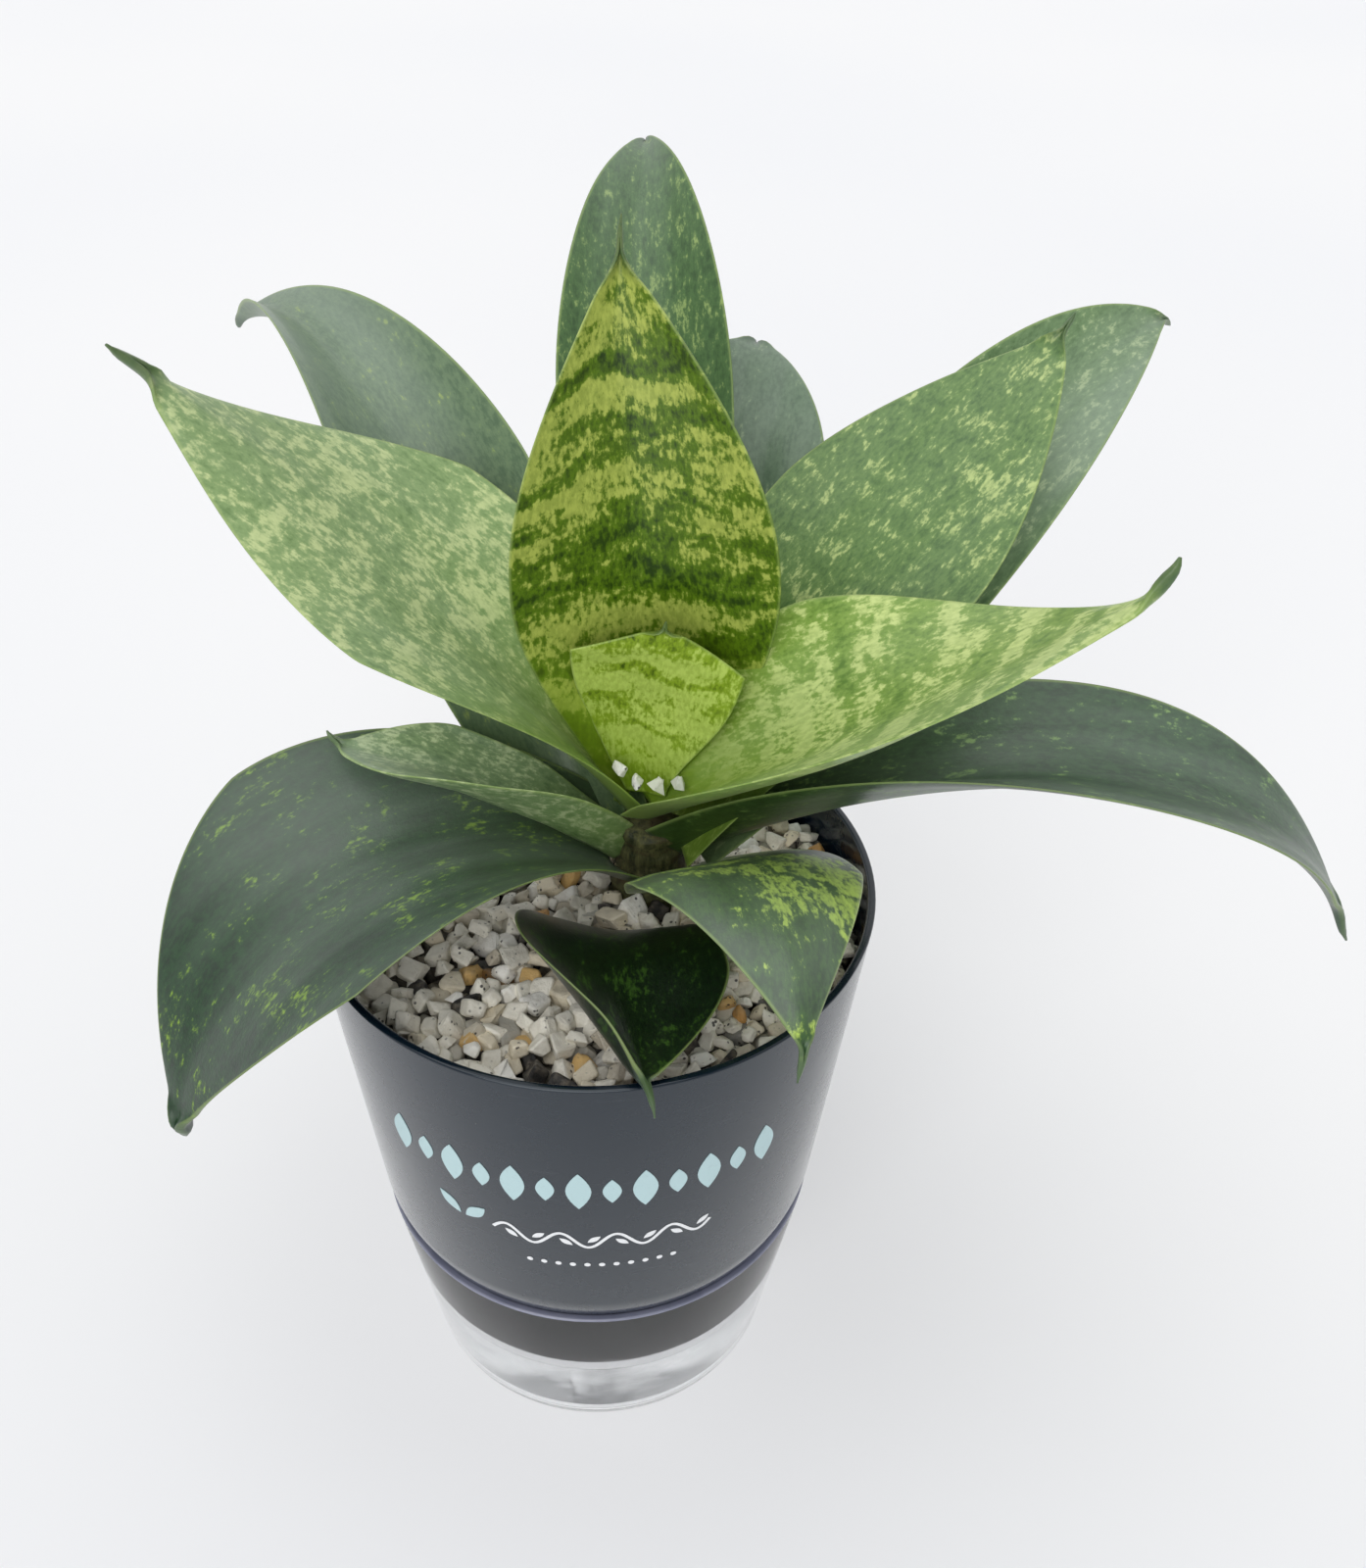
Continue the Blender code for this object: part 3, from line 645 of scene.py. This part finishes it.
def make_cup_mesh():
    inner_foot = cup_radius(CUP_FLOOR) - CUP_WALL
    profile = [
        (0.0, 0.0012), (BASE_RADIUS - 0.008, 0.0012), (BASE_RADIUS - 0.0075, 0.0),
        (BASE_RADIUS, 0.0), (SEAM_RADIUS, SEAM_HEIGHT),
        (cup_radius(SEAM_HEIGHT) - CUP_WALL, SEAM_HEIGHT), (inner_foot, CUP_FLOOR),
        (0.0, CUP_FLOOR),
    ]
    bm = turned(profile, closed=False, rounds=[(0.003, [3, 6]), (0.0003, [1, 2]),
                                               (0.0006, [4, 5])])
    crease(bm, 40)
    for face in bm.faces:
        if face.calc_center_median().z > SEAM_HEIGHT - 0.0011:
            face.material_index = 1
    return bm


def make_water_mesh():
    """The water fills the cup up to its level; it laps a hair into the plastic."""
    lap = 0.00005
    top, low = WATER_HIGH.z, CUP_FLOOR - lap
    well = POT_LOW.z - GAP
    outer = cup_radius(top) - CUP_WALL + lap
    foot = cup_radius(low) - CUP_WALL + lap
    bore = between(WELL_END_RADIUS, WELL_TOP_RADIUS,
                   (top - POT_LOW.z) / (SEAM_HEIGHT - NECK_DEPTH - POT_LOW.z)) + GAP
    profile = [(bore, top), (outer, top), (foot, low), (0.0, low),
               (0.0, well), (WELL_END_RADIUS + GAP, well)]
    bm = turned(profile, rounds=[(0.003, [2])])
    crease(bm, 40)
    return bm


# ---------------------------------------------------------------- stones

STONE_TONES = [
    (0.54, (244, 240, 226)), (0.16, (232, 222, 198)), (0.12, (252, 250, 242)),
    (0.08, (206, 198, 180)), (0.025, (196, 148, 84)), (0.035, (222, 184, 118)),
    (0.04, (34, 33, 33)),
]


def add_stone(bm, layers, spot, size, chance, tone=None, depth=1.0):
    """One angular chip: a squashed, knocked-about block with its edges taken off."""
    tone_layer, speck_layer = layers
    stone = bmesh.new()
    kind = chance.random()
    if kind < 0.6:
        bmesh.ops.create_cube(stone, size=1.0)
        bite = 0.24
    else:
        bmesh.ops.create_cone(stone, cap_ends=True, segments=5, radius1=0.62,
                              radius2=chance.uniform(0.15, 0.5), depth=0.9)
        bite = 0.16
    for vert in stone.verts:
        vert.co += Vector([chance.uniform(-bite, bite) for _ in range(3)])
    bmesh.ops.bevel(stone, geom=stone.edges[:], offset=chance.uniform(0.13, 0.22), segments=2,
                    profile=0.5, affect="EDGES", material=-1, clamp_overlap=True)
    shape = Vector((chance.uniform(0.9, 1.25), chance.uniform(0.7, 1.0), chance.uniform(0.5, 0.8)))
    spin = Matrix.Rotation(chance.uniform(0, math.tau), 4, "Z")
    tilt = Matrix.Rotation(math.radians(chance.gauss(0, 28)), 4, "X")
    tilt = tilt @ Matrix.Rotation(math.radians(chance.gauss(0, 28)), 4, "Y")
    place = Matrix.Translation(spot) @ spin @ tilt @ Matrix.Diagonal((*shape * size, 1.0))
    if tone is None:
        pick = chance.random()
        for share, colour in STONE_TONES:
            pick -= share
            if pick <= 0:
                break
        # depth darkens the chip as painted shade, for chips lying low between the others.
        light = chance.uniform(0.92, 1.07) * depth
        tone = [value * light for value in rgb(*colour)]
    speck = chance.random()
    twin = {vert: bm.verts.new(place @ vert.co) for vert in stone.verts}
    for face in stone.faces:
        made = bm.faces.new([twin[vert] for vert in face.verts])
        made.smooth = face.calc_area() < 0.09
        for loop in made.loops:
            loop[tone_layer] = (*tone, 1.0)
            loop[speck_layer] = (speck, speck, speck, 1.0)
    stone.free()


def stone_layers(bm):
    return (bm.loops.layers.float_color.new("tone"), bm.loops.layers.float_color.new("speck"))


def settle_stones(low, top, reach, chance, blocked):
    """Drop stones one by one, each into the lowest of a few places that are open to it."""
    cell = 0.006
    grid = {}
    stones = []
    misses = 0
    while misses < 60 and len(stones) < 2600:
        size = chance.triangular(0.0034, 0.0070, 0.0046)
        radius = size * 0.46
        best = None
        for _ in range(9):
            angle = chance.uniform(0, math.tau)
            out = (reach - radius) * math.sqrt(chance.random())
            x, y = out * math.cos(angle), out * math.sin(angle)
            z = low + radius * 0.8
            column, row = int(x // cell), int(y // cell)
            for i in (column - 1, column, column + 1):
                for j in (row - 1, row, row + 1):
                    for other_x, other_y, other_z, other in grid.get((i, j), ()):
                        gap = math.hypot(x - other_x, y - other_y)
                        touch = (radius + other) * 0.90
                        if gap < touch:
                            z = max(z, other_z + math.sqrt(touch * touch - gap * gap) * 0.8)
            if best is None or z < best[2]:
                best = (x, y, z)
        x, y, z = best
        mound = top + 0.0012 * (1 - (x * x + y * y) / (reach * reach)) - radius
        if z > mound + chance.uniform(-0.0006, 0.0012):
            misses += 1
            continue
        if blocked(Vector(best), radius):
            misses += 0.02
            continue
        misses = 0
        grid.setdefault((int(x // cell), int(y // cell)), []).append((x, y, z, radius))
        stones.append((Vector(best), size))
    return stones


def stone_material():
    """Chips of milky stone, each with its own tone, dark specks and a dusty haze; the tone of the chips
    lying low in the bed carries painted shade.
    """
    material, tree, shader = new_material("white_stone_chips")
    place = node(tree, "TexCoord").outputs["Object"]
    tone = node(tree, "Attribute", attribute_name="tone").outputs["Color"]
    speck = node(tree, "Attribute", attribute_name="speck").outputs["Fac"]
    shift = node(tree, "VectorMath", {0: place, 1: speck}, operation="ADD").outputs[0]
    haze = cloud(tree, shift, 420.0, 4.0, 0.6)
    colour = blend(tree, fade(tree, haze, 0.40, 0.80, 0.0, 0.35), tone, rgb(176, 164, 142))
    dots = node(tree, "TexVoronoi", {"Vector": shift, "Scale": 700.0}).outputs["Distance"]
    rare = fade(tree, cloud(tree, shift, 300.0, 2.0), 0.50, 0.62)
    dark = calc(tree, "MULTIPLY", fade(tree, dots, 0.30, 0.18), rare)
    colour = blend(tree, calc(tree, "MULTIPLY", dark, 0.9), colour, rgb(38, 36, 34))
    grit = cloud(tree, shift, 1500.0, 4.0, 0.7)
    height = calc(tree, "MULTIPLY_ADD", grit, 0.4, haze)
    set_shader(tree, shader, base_color=colour, roughness=fade(tree, grit, 0.3, 0.7, 0.42, 0.7),
               normal=bump(tree, height, 0.0006, 0.8), ior=1.5)
    return material


# ---------------------------------------------------------------- printed ornament

INK_THICK = 0.00010
INK_LIFT = 0.00003
ROW_HEIGHT = 0.113
VINE_HEIGHT = 0.0935
DOT_HEIGHT = 0.0835


def ink_leaf(bm, centre, lean, length, width):
    """A plain pointed leaf drawn flat, with x round the pot and y up it."""
    made = bmesh.ops.create_grid(bm, x_segments=4, y_segments=10, size=0.5)["verts"]
    for vert in made:
        share = abs(vert.co.y * 2) ** 1.8
        vert.co.x *= width * (1 - share * 0.97)
        vert.co.y *= length
    bmesh.ops.rotate(bm, verts=made, matrix=Matrix.Rotation(math.radians(lean), 3, "Z"))
    bmesh.ops.translate(bm, verts=made, vec=(centre[0], centre[1], 0))


def ink_line(bm, path, width):
    """A ribbon along a flat path."""
    made = bmesh.ops.create_grid(bm, x_segments=1, y_segments=len(path) - 1, size=0.5)["verts"]
    for vert in made:
        step = round((vert.co.y + 0.5) * (len(path) - 1))
        ahead = path[min(step + 1, len(path) - 1)] - path[max(step - 1, 0)]
        side = Vector((ahead.y, -ahead.x, 0)).normalized()
        vert.co = path[step] + side * (vert.co.x * width)


def wrap_ink(bm):
    """Give the flat drawing its thickness and wrap it round the pot's wall."""
    bmesh.ops.recalc_face_normals(bm, faces=bm.faces[:])
    for face in bm.faces:
        if face.normal.z < 0:
            face.normal_flip()
    raised = bmesh.ops.extrude_face_region(bm, geom=bm.faces[:])["geom"]
    top = [item for item in raised if isinstance(item, bmesh.types.BMVert)]
    bmesh.ops.translate(bm, verts=top, vec=(0, 0, INK_THICK))
    for vert in bm.verts:
        radius = pot_radius(vert.co.y)
        turn = vert.co.x / radius
        out = radius + INK_LIFT + vert.co.z
        vert.co = Vector((out * math.sin(turn), -out * math.cos(turn), vert.co.y))
    bmesh.ops.recalc_face_normals(bm, faces=bm.faces[:])
    return bm


def ink_material(name, colour):
    material, tree, shader = new_material(name)
    place = node(tree, "TexCoord").outputs["Object"]
    worn = fade(tree, cloud(tree, place, 900.0, 4.0, 0.7), 0.55, 0.75, 0.0, 0.35)
    tone = blend(tree, worn, colour, [value * 0.7 for value in colour])
    set_shader(tree, shader, base_color=tone, roughness=0.45)
    return material


# ---------------------------------------------------------------- materials of the rest


def pot_material():
    """Dark satin moulded plastic with fine scuffs and a little dust."""
    material, tree, shader = new_material("charcoal_plastic")
    place = node(tree, "TexCoord").outputs["Object"]
    dust = cloud(tree, place, 90.0, 6.0, 0.65)
    grain = cloud(tree, place, 2600.0, 2.0)
    scuff = cloud(tree, scaled(tree, place, (60, 60, 900)), 1.0, 4.0, 0.7)
    scuffs = fade(tree, scuff, 0.60, 0.74)
    colour = blend(tree, fade(tree, dust, 0.40, 0.75, 0.0, 0.12), rgb(8, 20, 32), rgb(26, 38, 50))
    colour = blend(tree, calc(tree, "MULTIPLY", scuffs, 0.10), colour, rgb(96, 102, 108))
    rough = calc(tree, "MULTIPLY_ADD", dust, 0.14, 0.20)
    rough = calc(tree, "MULTIPLY_ADD", scuffs, 0.12, rough)
    set_shader(tree, shader, base_color=colour, roughness=rough, ior=1.5,
               coat_weight=0.8, coat_roughness=0.09,
               normal=bump(tree, grain, 0.00002, 0.4))
    shader.inputs["Coat IOR"].default_value = 1.54
    shader.inputs["Specular IOR Level"].default_value = 0.15
    shader.inputs["Specular Tint"].default_value = (0.55, 0.85, 1.0, 1.0)
    return material


def clear_material(name, tint, density_rough=0.03, ior=1.49):
    material, tree, shader = new_material(name)
    place = node(tree, "TexCoord").outputs["Object"]
    smear = cloud(tree, place, 60.0, 4.0, 0.6)
    rough = fade(tree, smear, 0.35, 0.75, density_rough, density_rough + 0.07)
    wave = cloud(tree, scaled(tree, place, (30, 30, 12)), 1.0, 2.0)
    set_shader(tree, shader, base_color=tint, roughness=rough, ior=ior,
               normal=bump(tree, wave, 0.0012, 0.25))
    let_light_through(tree, shader)
    return material


def let_light_through(tree, shader):
    """Glass that lamps shine through, so what stands in it is lit."""
    shader.inputs["Transmission Weight"].default_value = 1.0
    path = node(tree, "LightPath").outputs
    free = calc(tree, "MAXIMUM", path["Is Shadow Ray"], path["Is Diffuse Ray"])
    tree.links.new(calc(tree, "SUBTRACT", 1.0, free), shader.inputs["Alpha"])


def seam_material(tint):
    """The reservoir's top edge, where the plastic gathers its violet tint."""
    material, tree, shader = new_material("violet_edge")
    place = node(tree, "TexCoord").outputs["Object"]
    haze = cloud(tree, place, 120.0, 3.0)
    colour = blend(tree, fade(tree, haze, 0.3, 0.7, 0.0, 0.4), tint, rgb(150, 152, 170))
    set_shader(tree, shader, base_color=colour, roughness=0.15, ior=1.49, coat_weight=0.6)
    return material


def water_material():
    material, tree, shader = new_material("clear_water")
    place = node(tree, "TexCoord").outputs["Object"]
    ripple = cloud(tree, place, 55.0, 2.0)
    set_shader(tree, shader, base_color=(0.99, 0.995, 0.995), roughness=0.0, ior=1.33,
               normal=bump(tree, ripple, 0.0008, 0.25))
    let_light_through(tree, shader)
    return material


def soil_material():
    material, tree, shader = new_material("potting_mix_crumbs")
    place = node(tree, "TexCoord").outputs["Object"]
    crumbs = node(tree, "TexVoronoi", {"Vector": place, "Scale": 420.0})
    fibre = cloud(tree, scaled(tree, place, (900, 300, 600)), 1.0, 5.0, 0.7)
    colour = blend(tree, fade(tree, fibre, 0.35, 0.7), rgb(34, 26, 20), rgb(92, 70, 50))
    bits = fade(tree, cloud(tree, place, 380.0, 3.0), 0.62, 0.68)
    colour = blend(tree, calc(tree, "MULTIPLY", bits, 0.7), colour, rgb(176, 160, 132))
    set_shader(tree, shader, base_color=colour, roughness=0.92,
               normal=bump(tree, crumbs.outputs["Distance"], 0.0015, 1.0))
    return material


def stem_material():
    material, tree, shader = new_material("old_stem_skin")
    place = node(tree, "TexCoord").outputs["Object"]
    fibre = cloud(tree, scaled(tree, place, (700, 700, 60)), 1.0, 5.0, 0.7)
    rings = cloud(tree, scaled(tree, place, (60, 60, 420)), 1.0, 3.0, 0.6)
    colour = blend(tree, fade(tree, fibre, 0.3, 0.7), rgb(38, 44, 22), rgb(104, 104, 62))
    colour = blend(tree, fade(tree, rings, 0.52, 0.7, 0.0, 0.7), colour, rgb(66, 48, 30))
    height = calc(tree, "MULTIPLY_ADD", rings, 0.8, fibre)
    set_shader(tree, shader, base_color=colour, roughness=fade(tree, fibre, 0.3, 0.7, 0.5, 0.8),
               normal=bump(tree, height, 0.0006, 0.9))
    return material


# ---------------------------------------------------------------- settings


class SnakePlantSettings(bpy.types.PropertyGroup):
    leaf_thickness: bpy.props.FloatProperty(
        name="Leaf thickness", description="Thickness of a leaf at its midrib",
        default=0.0026, min=0.001, max=0.006, unit="LENGTH", precision=4)
    leaf_edge: bpy.props.FloatProperty(
        name="Leaf edge", description="Thickness of a leaf at its margin",
        default=0.0009, min=0.0004, max=0.003, unit="LENGTH", precision=4)
    stone_seed: bpy.props.IntProperty(
        name="Stone seed", description="Number that decides how the stones fall",
        default=7, min=0)
    floor_colour: bpy.props.FloatVectorProperty(
        name="Floor colour", description="Colour of the surface under the pot",
        default=(0.87, 0.87, 0.875), min=0, max=1, size=3, subtype="COLOR")
    cup_colour: bpy.props.FloatVectorProperty(
        name="Reservoir colour", description="Tint of the clear reservoir",
        default=(0.985, 0.990, 0.995), min=0, max=1, size=3, subtype="COLOR")
    seam_colour: bpy.props.FloatVectorProperty(
        name="Seam colour", description="Tint that gathers in the reservoir's top edge",
        default=(0.16, 0.17, 0.24), min=0, max=1, size=3, subtype="COLOR")


# ---------------------------------------------------------------- operators


class SNAKEPLANT_OT_leaves(bpy.types.Operator):
    """Make the fourteen leaves"""

    bl_idname = "snake_plant.make_leaves"
    bl_label = "Leaves"

    def execute(self, context):
        settings = context.scene.snake_plant
        for seed, (name, leaf) in enumerate(LEAVES.items()):
            bm = blade_mesh(leaf, TIPS[name], RIDGES.get(name), settings.leaf_thickness,
                            settings.leaf_edge, seed)
            material = leaf_material(f"{name}_skin", LOOKS[name], seed)
            add_piece(f"{name}_blade", bm, [material], [name])
        return {"FINISHED"}


class SNAKEPLANT_OT_stem(bpy.types.Operator):
    """Make the short crown stem"""

    bl_idname = "snake_plant.make_stem"
    bl_label = "Stem"

    def execute(self, context):
        low, high = STEM_LOW.z, CROWN.z + 0.004
        count = 26
        profile = [(0.0, low)]
        for i in range(count + 1):
            share = i / count
            height = between(low + 0.001, high, share)
            radius = between(0.0095, 0.0072, smooth_step(0.4, 1.0, share))
            radius += 0.0006 * math.sin(share * 60) - 0.006 * smooth_step(0.2, 0.0, share)
            profile.append((radius, height))
        profile.append((0.0, high + 0.0005))
        bm = turned(profile, closed=False)
        for vert in bm.verts:
            push = noise.noise(vert.co * 260) * 0.0007
            vert.co += Vector((vert.co.x, vert.co.y, 0)) * (push / 0.009)
            vert.co += Vector((CROWN.x, CROWN.y, 0))
        add_piece("crown_stem", bm, [stem_material()], ["plant_stem"])
        return {"FINISHED"}


class SNAKEPLANT_OT_pot(bpy.types.Operator):
    """Make the dark upper pot with its neck and wick tube"""

    bl_idname = "snake_plant.make_pot"
    bl_label = "Upper pot"

    def execute(self, context):
        add_piece("pot_body", make_pot_mesh(), [pot_material()], ["planter_pot"])
        return {"FINISHED"}


class SNAKEPLANT_OT_ornament(bpy.types.Operator):
    """Print a plain row of leaves, a vine and a line of dots on the pot"""

    bl_idname = "snake_plant.make_ornament"
    bl_label = "Printed ornament"

    def execute(self, context):
        aqua = bmesh.new()
        count, pitch = 13, 0.0070
        for i in range(count):
            length, width = (0.0085, 0.0040) if i % 2 else (0.0130, 0.0054)
            ink_leaf(aqua, ((i - (count - 1) / 2) * pitch, ROW_HEIGHT), 0, length, width)
        sprout = (-0.027, VINE_HEIGHT - 0.001)
        for lean in (-42, 42):
            turn = math.radians(lean)
            centre = (sprout[0] - math.sin(turn) * 0.0048, sprout[1] + math.cos(turn) * 0.0048)
            ink_leaf(aqua, centre, lean, 0.0075, 0.0034)
        add_piece("ornament_leaves", wrap_ink(aqua), [ink_material("aqua_ink", rgb(179, 206, 209))])
        white = bmesh.new()
        first, last, waves = -0.0195, 0.0290, 4
        path = []
        for i in range(121):
            share = i / 120
            swing = math.sin(math.tau * waves * share) * 0.0026
            path.append(Vector((between(first, last, share), VINE_HEIGHT + swing, 0)))
        ink_line(white, path, 0.0008)
        for i in range(waves * 2):
            share = (i + 0.5) / (waves * 2)
            side = 1 if i % 2 else -1
            centre = (between(first, last, share) + 0.0012, VINE_HEIGHT + side * 0.0006)
            ink_leaf(white, centre, -50 * side, 0.0036, 0.0015)
        for i in range(11):
            made = bmesh.ops.create_circle(white, cap_ends=True, segments=12, radius=0.0007)
            bmesh.ops.translate(white, verts=made["verts"],
                                vec=(0.0045 + (i - 5) * 0.0032, DOT_HEIGHT, 0))
        add_piece("ornament_vine", wrap_ink(white), [ink_material("white_ink", rgb(232, 234, 236))])
        return {"FINISHED"}


class SNAKEPLANT_OT_reservoir(bpy.types.Operator):
    """Make the clear reservoir that the pot plugs into"""

    bl_idname = "snake_plant.make_reservoir"
    bl_label = "Reservoir"

    def execute(self, context):
        settings = context.scene.snake_plant
        materials = [clear_material("clear_plastic", settings.cup_colour),
                     seam_material(settings.seam_colour)]
        add_piece("reservoir_cup", make_cup_mesh(), materials,
                  ["water_reservoir"])
        return {"FINISHED"}


class SNAKEPLANT_OT_water(bpy.types.Operator):
    """Make the water in the reservoir"""

    bl_idname = "snake_plant.make_water"
    bl_label = "Water"

    def execute(self, context):
        add_piece("water_body", make_water_mesh(), [water_material()],
                  ["reservoir_water"])
        return {"FINISHED"}


class SNAKEPLANT_OT_soil(bpy.types.Operator):
    """Give the potting mix its finish"""

    bl_idname = "snake_plant.finish_soil"
    bl_label = "Potting mix"

    def execute(self, context):
        mesh = frame["nodes"]["potting_mix"].data
        mesh.materials.clear()
        mesh.materials.append(soil_material())
        return {"FINISHED"}


class SNAKEPLANT_OT_gravel(bpy.types.Operator):
    """Fill the top of the pot with stone chips"""

    bl_idname = "snake_plant.make_gravel"
    bl_label = "Gravel"

    def execute(self, context):
        chance = random.Random(context.scene.snake_plant.stone_seed)
        trees = []
        for obj in bpy.data.objects:
            if obj.name.endswith("_blade") or obj.name == "crown_stem":
                points = [vert.co[:] for vert in obj.data.vertices]
                sides = [tuple(poly.vertices) for poly in obj.data.polygons]
                trees.append(BVHTree.FromPolygons(points, sides))

        def blocked(spot, radius):
            for tree in trees:
                if tree.find_nearest(spot, radius * 0.75)[0] is not None:
                    return True
            away = Vector((spot.x - CROWN.x, spot.y - CROWN.y))
            return away.length < 0.008

        reach = pot_radius(GRAVEL_TOP) - WALL - 0.0003
        bm = bmesh.new()
        layers = stone_layers(bm)
        for spot, size in settle_stones(GRAVEL_LOW.z, GRAVEL_HIGH.z, reach, chance, blocked):
            # Painted shade: chips lower in the bed are darkened, down to a tenth, for the shade in the
            # gaps between the top stones.
            depth = smooth_step(-0.0060, -0.0028, spot.z - GRAVEL_HIGH.z)
            add_stone(bm, layers, spot, size, chance, depth=between(0.10, 1.0, depth))
        bmesh.ops.recalc_face_normals(bm, faces=bm.faces[:])
        add_piece("stone_chips", bm, [stone_material()], ["gravel_bed"])
        return {"FINISHED"}


class SNAKEPLANT_OT_crown_stones(bpy.types.Operator):
    """Lay a few white chips in the crown"""

    bl_idname = "snake_plant.make_crown_stones"
    bl_label = "Crown stones"

    def execute(self, context):
        chance = random.Random(CROWN_STONE_SEED)
        bm = bmesh.new()
        layers = stone_layers(bm)
        nodes = [f"crown_stone_{place}" for place in ("left", "front", "right", "back")]
        for name in nodes:
            low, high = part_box(name)
            size = (high.x - low.x) * 0.95
            add_stone(bm, layers, (low + high) / 2, size, chance, rgb(238, 238, 234))
        bmesh.ops.recalc_face_normals(bm, faces=bm.faces[:])
        add_piece("crown_chips", bm, [bpy.data.materials["white_stone_chips"]], nodes)
        return {"FINISHED"}


class SNAKEPLANT_OT_stage(bpy.types.Operator):
    """Set up the floor, the soft light and the camera"""

    bl_idname = "snake_plant.make_stage"
    bl_label = "Stage"

    def execute(self, context):
        settings = context.scene.snake_plant
        bm = bmesh.new()
        bmesh.ops.create_circle(bm, cap_ends=True, segments=96, radius=FLOOR_RADIUS)
        mesh = bpy.data.meshes.new("floor")
        bm.to_mesh(mesh)
        bm.free()
        floor = bpy.data.objects.new("floor", mesh)
        context.scene.collection.objects.link(floor)
        material, tree, shader = new_material("pale_floor")
        place = node(tree, "TexCoord").outputs["Object"]
        # Painted shade: broad soft patches where the floor is a little darker and bluer, for the uneven
        # fall of light across it.
        painted_floor_shade = cloud(tree, place, 1.2, 1.0)
        colour = blend(tree, fade(tree, painted_floor_shade, 0.3, 0.7, 0.0, 0.25), tuple(settings.floor_colour),
                       rgb(226, 229, 236))
        set_shader(tree, shader, base_color=colour, roughness=1.0)
        shader.inputs["Specular IOR Level"].default_value = 0.0
        mesh.materials.append(material)

        world = bpy.data.worlds.new("studio")
        world.use_nodes = True
        back = world.node_tree.nodes["Background"]
        back.inputs["Color"].default_value = SKY_COLOUR
        sky = world.node_tree
        way = node(sky, "TexCoord").outputs["Generated"]
        facing = node(sky, "VectorMath", {0: way, 1: SKY_TOWARDS}, operation="DOT_PRODUCT")
        strength = fade(sky, facing.outputs["Value"], -0.3, 1.0, SKY_DIM, SKY_BRIGHT)
        sky.links.new(strength, back.inputs["Strength"])
        context.scene.world = world

        for name, (source, angle, energy) in LAMPS.items():
            lamp = bpy.data.lights.new(name, "SUN")
            lamp.angle = math.radians(angle)
            lamp.energy = energy
            obj = bpy.data.objects.new(name, lamp)
            obj.rotation_euler = Vector(source).to_track_quat("Z", "Y").to_euler()
            context.scene.collection.objects.link(obj)

        glow = bpy.data.lights.new("reservoir_glow", "AREA")
        glow.shape = "DISK"
        glow.size = GLOW_SIZE
        glow.energy = GLOW_ENERGY
        obj = bpy.data.objects.new("reservoir_glow", glow)
        obj.location = (0, 0, SEAM_HEIGHT - NECK_DEPTH - 0.002)
        obj.visible_camera = False
        obj.visible_glossy = False
        obj.visible_transmission = False
        context.scene.collection.objects.link(obj)

        camera = bpy.data.cameras.new("camera")
        camera.sensor_width = SENSOR_WIDTH
        camera.lens = LENS
        camera.clip_start = 0.01
        camera.clip_end = 100.0
        obj = bpy.data.objects.new("camera", camera)
        rise = math.radians(CAMERA_RISE)
        ahead = Vector((0.0, math.cos(rise), -math.sin(rise)))
        obj.location = CAMERA_TARGET - ahead * CAMERA_DISTANCE
        turn = Matrix.Rotation(math.radians(90 - CAMERA_RISE), 4, "X")
        lean = Matrix.Rotation(math.radians(CAMERA_ROLL), 4, "Z")
        obj.rotation_euler = (turn @ lean).to_euler()
        context.scene.collection.objects.link(obj)
        context.scene.camera = obj
        context.scene.view_settings.view_transform = "Standard"
        return {"FINISHED"}


class VIEW3D_PT_snake_plant(bpy.types.Panel):
    """Settings and steps of the snake plant"""

    bl_label = "Snake Plant"
    bl_space_type = "VIEW_3D"
    bl_region_type = "UI"
    bl_category = "Snake Plant"

    def draw(self, context):
        for title in SnakePlantSettings.__annotations__:
            self.layout.prop(context.scene.snake_plant, title)
        for step in STEPS:
            self.layout.operator(step.bl_idname)


STEPS = (
    SNAKEPLANT_OT_leaves, SNAKEPLANT_OT_stem, SNAKEPLANT_OT_pot, SNAKEPLANT_OT_ornament,
    SNAKEPLANT_OT_reservoir, SNAKEPLANT_OT_water, SNAKEPLANT_OT_soil, SNAKEPLANT_OT_gravel,
    SNAKEPLANT_OT_crown_stones, SNAKEPLANT_OT_stage,
)
CLASSES = (SnakePlantSettings, *STEPS, VIEW3D_PT_snake_plant)


def register():
    for cls in CLASSES:
        bpy.utils.register_class(cls)
    bpy.types.Scene.snake_plant = bpy.props.PointerProperty(type=SnakePlantSettings)


def unregister():
    del bpy.types.Scene.snake_plant
    for cls in reversed(CLASSES):
        bpy.utils.unregister_class(cls)


def main():
    register()
    for step in STEPS:
        group, name = step.bl_idname.split(".")
        getattr(getattr(bpy.ops, group), name)()


if __name__ == "__main__":
    main()
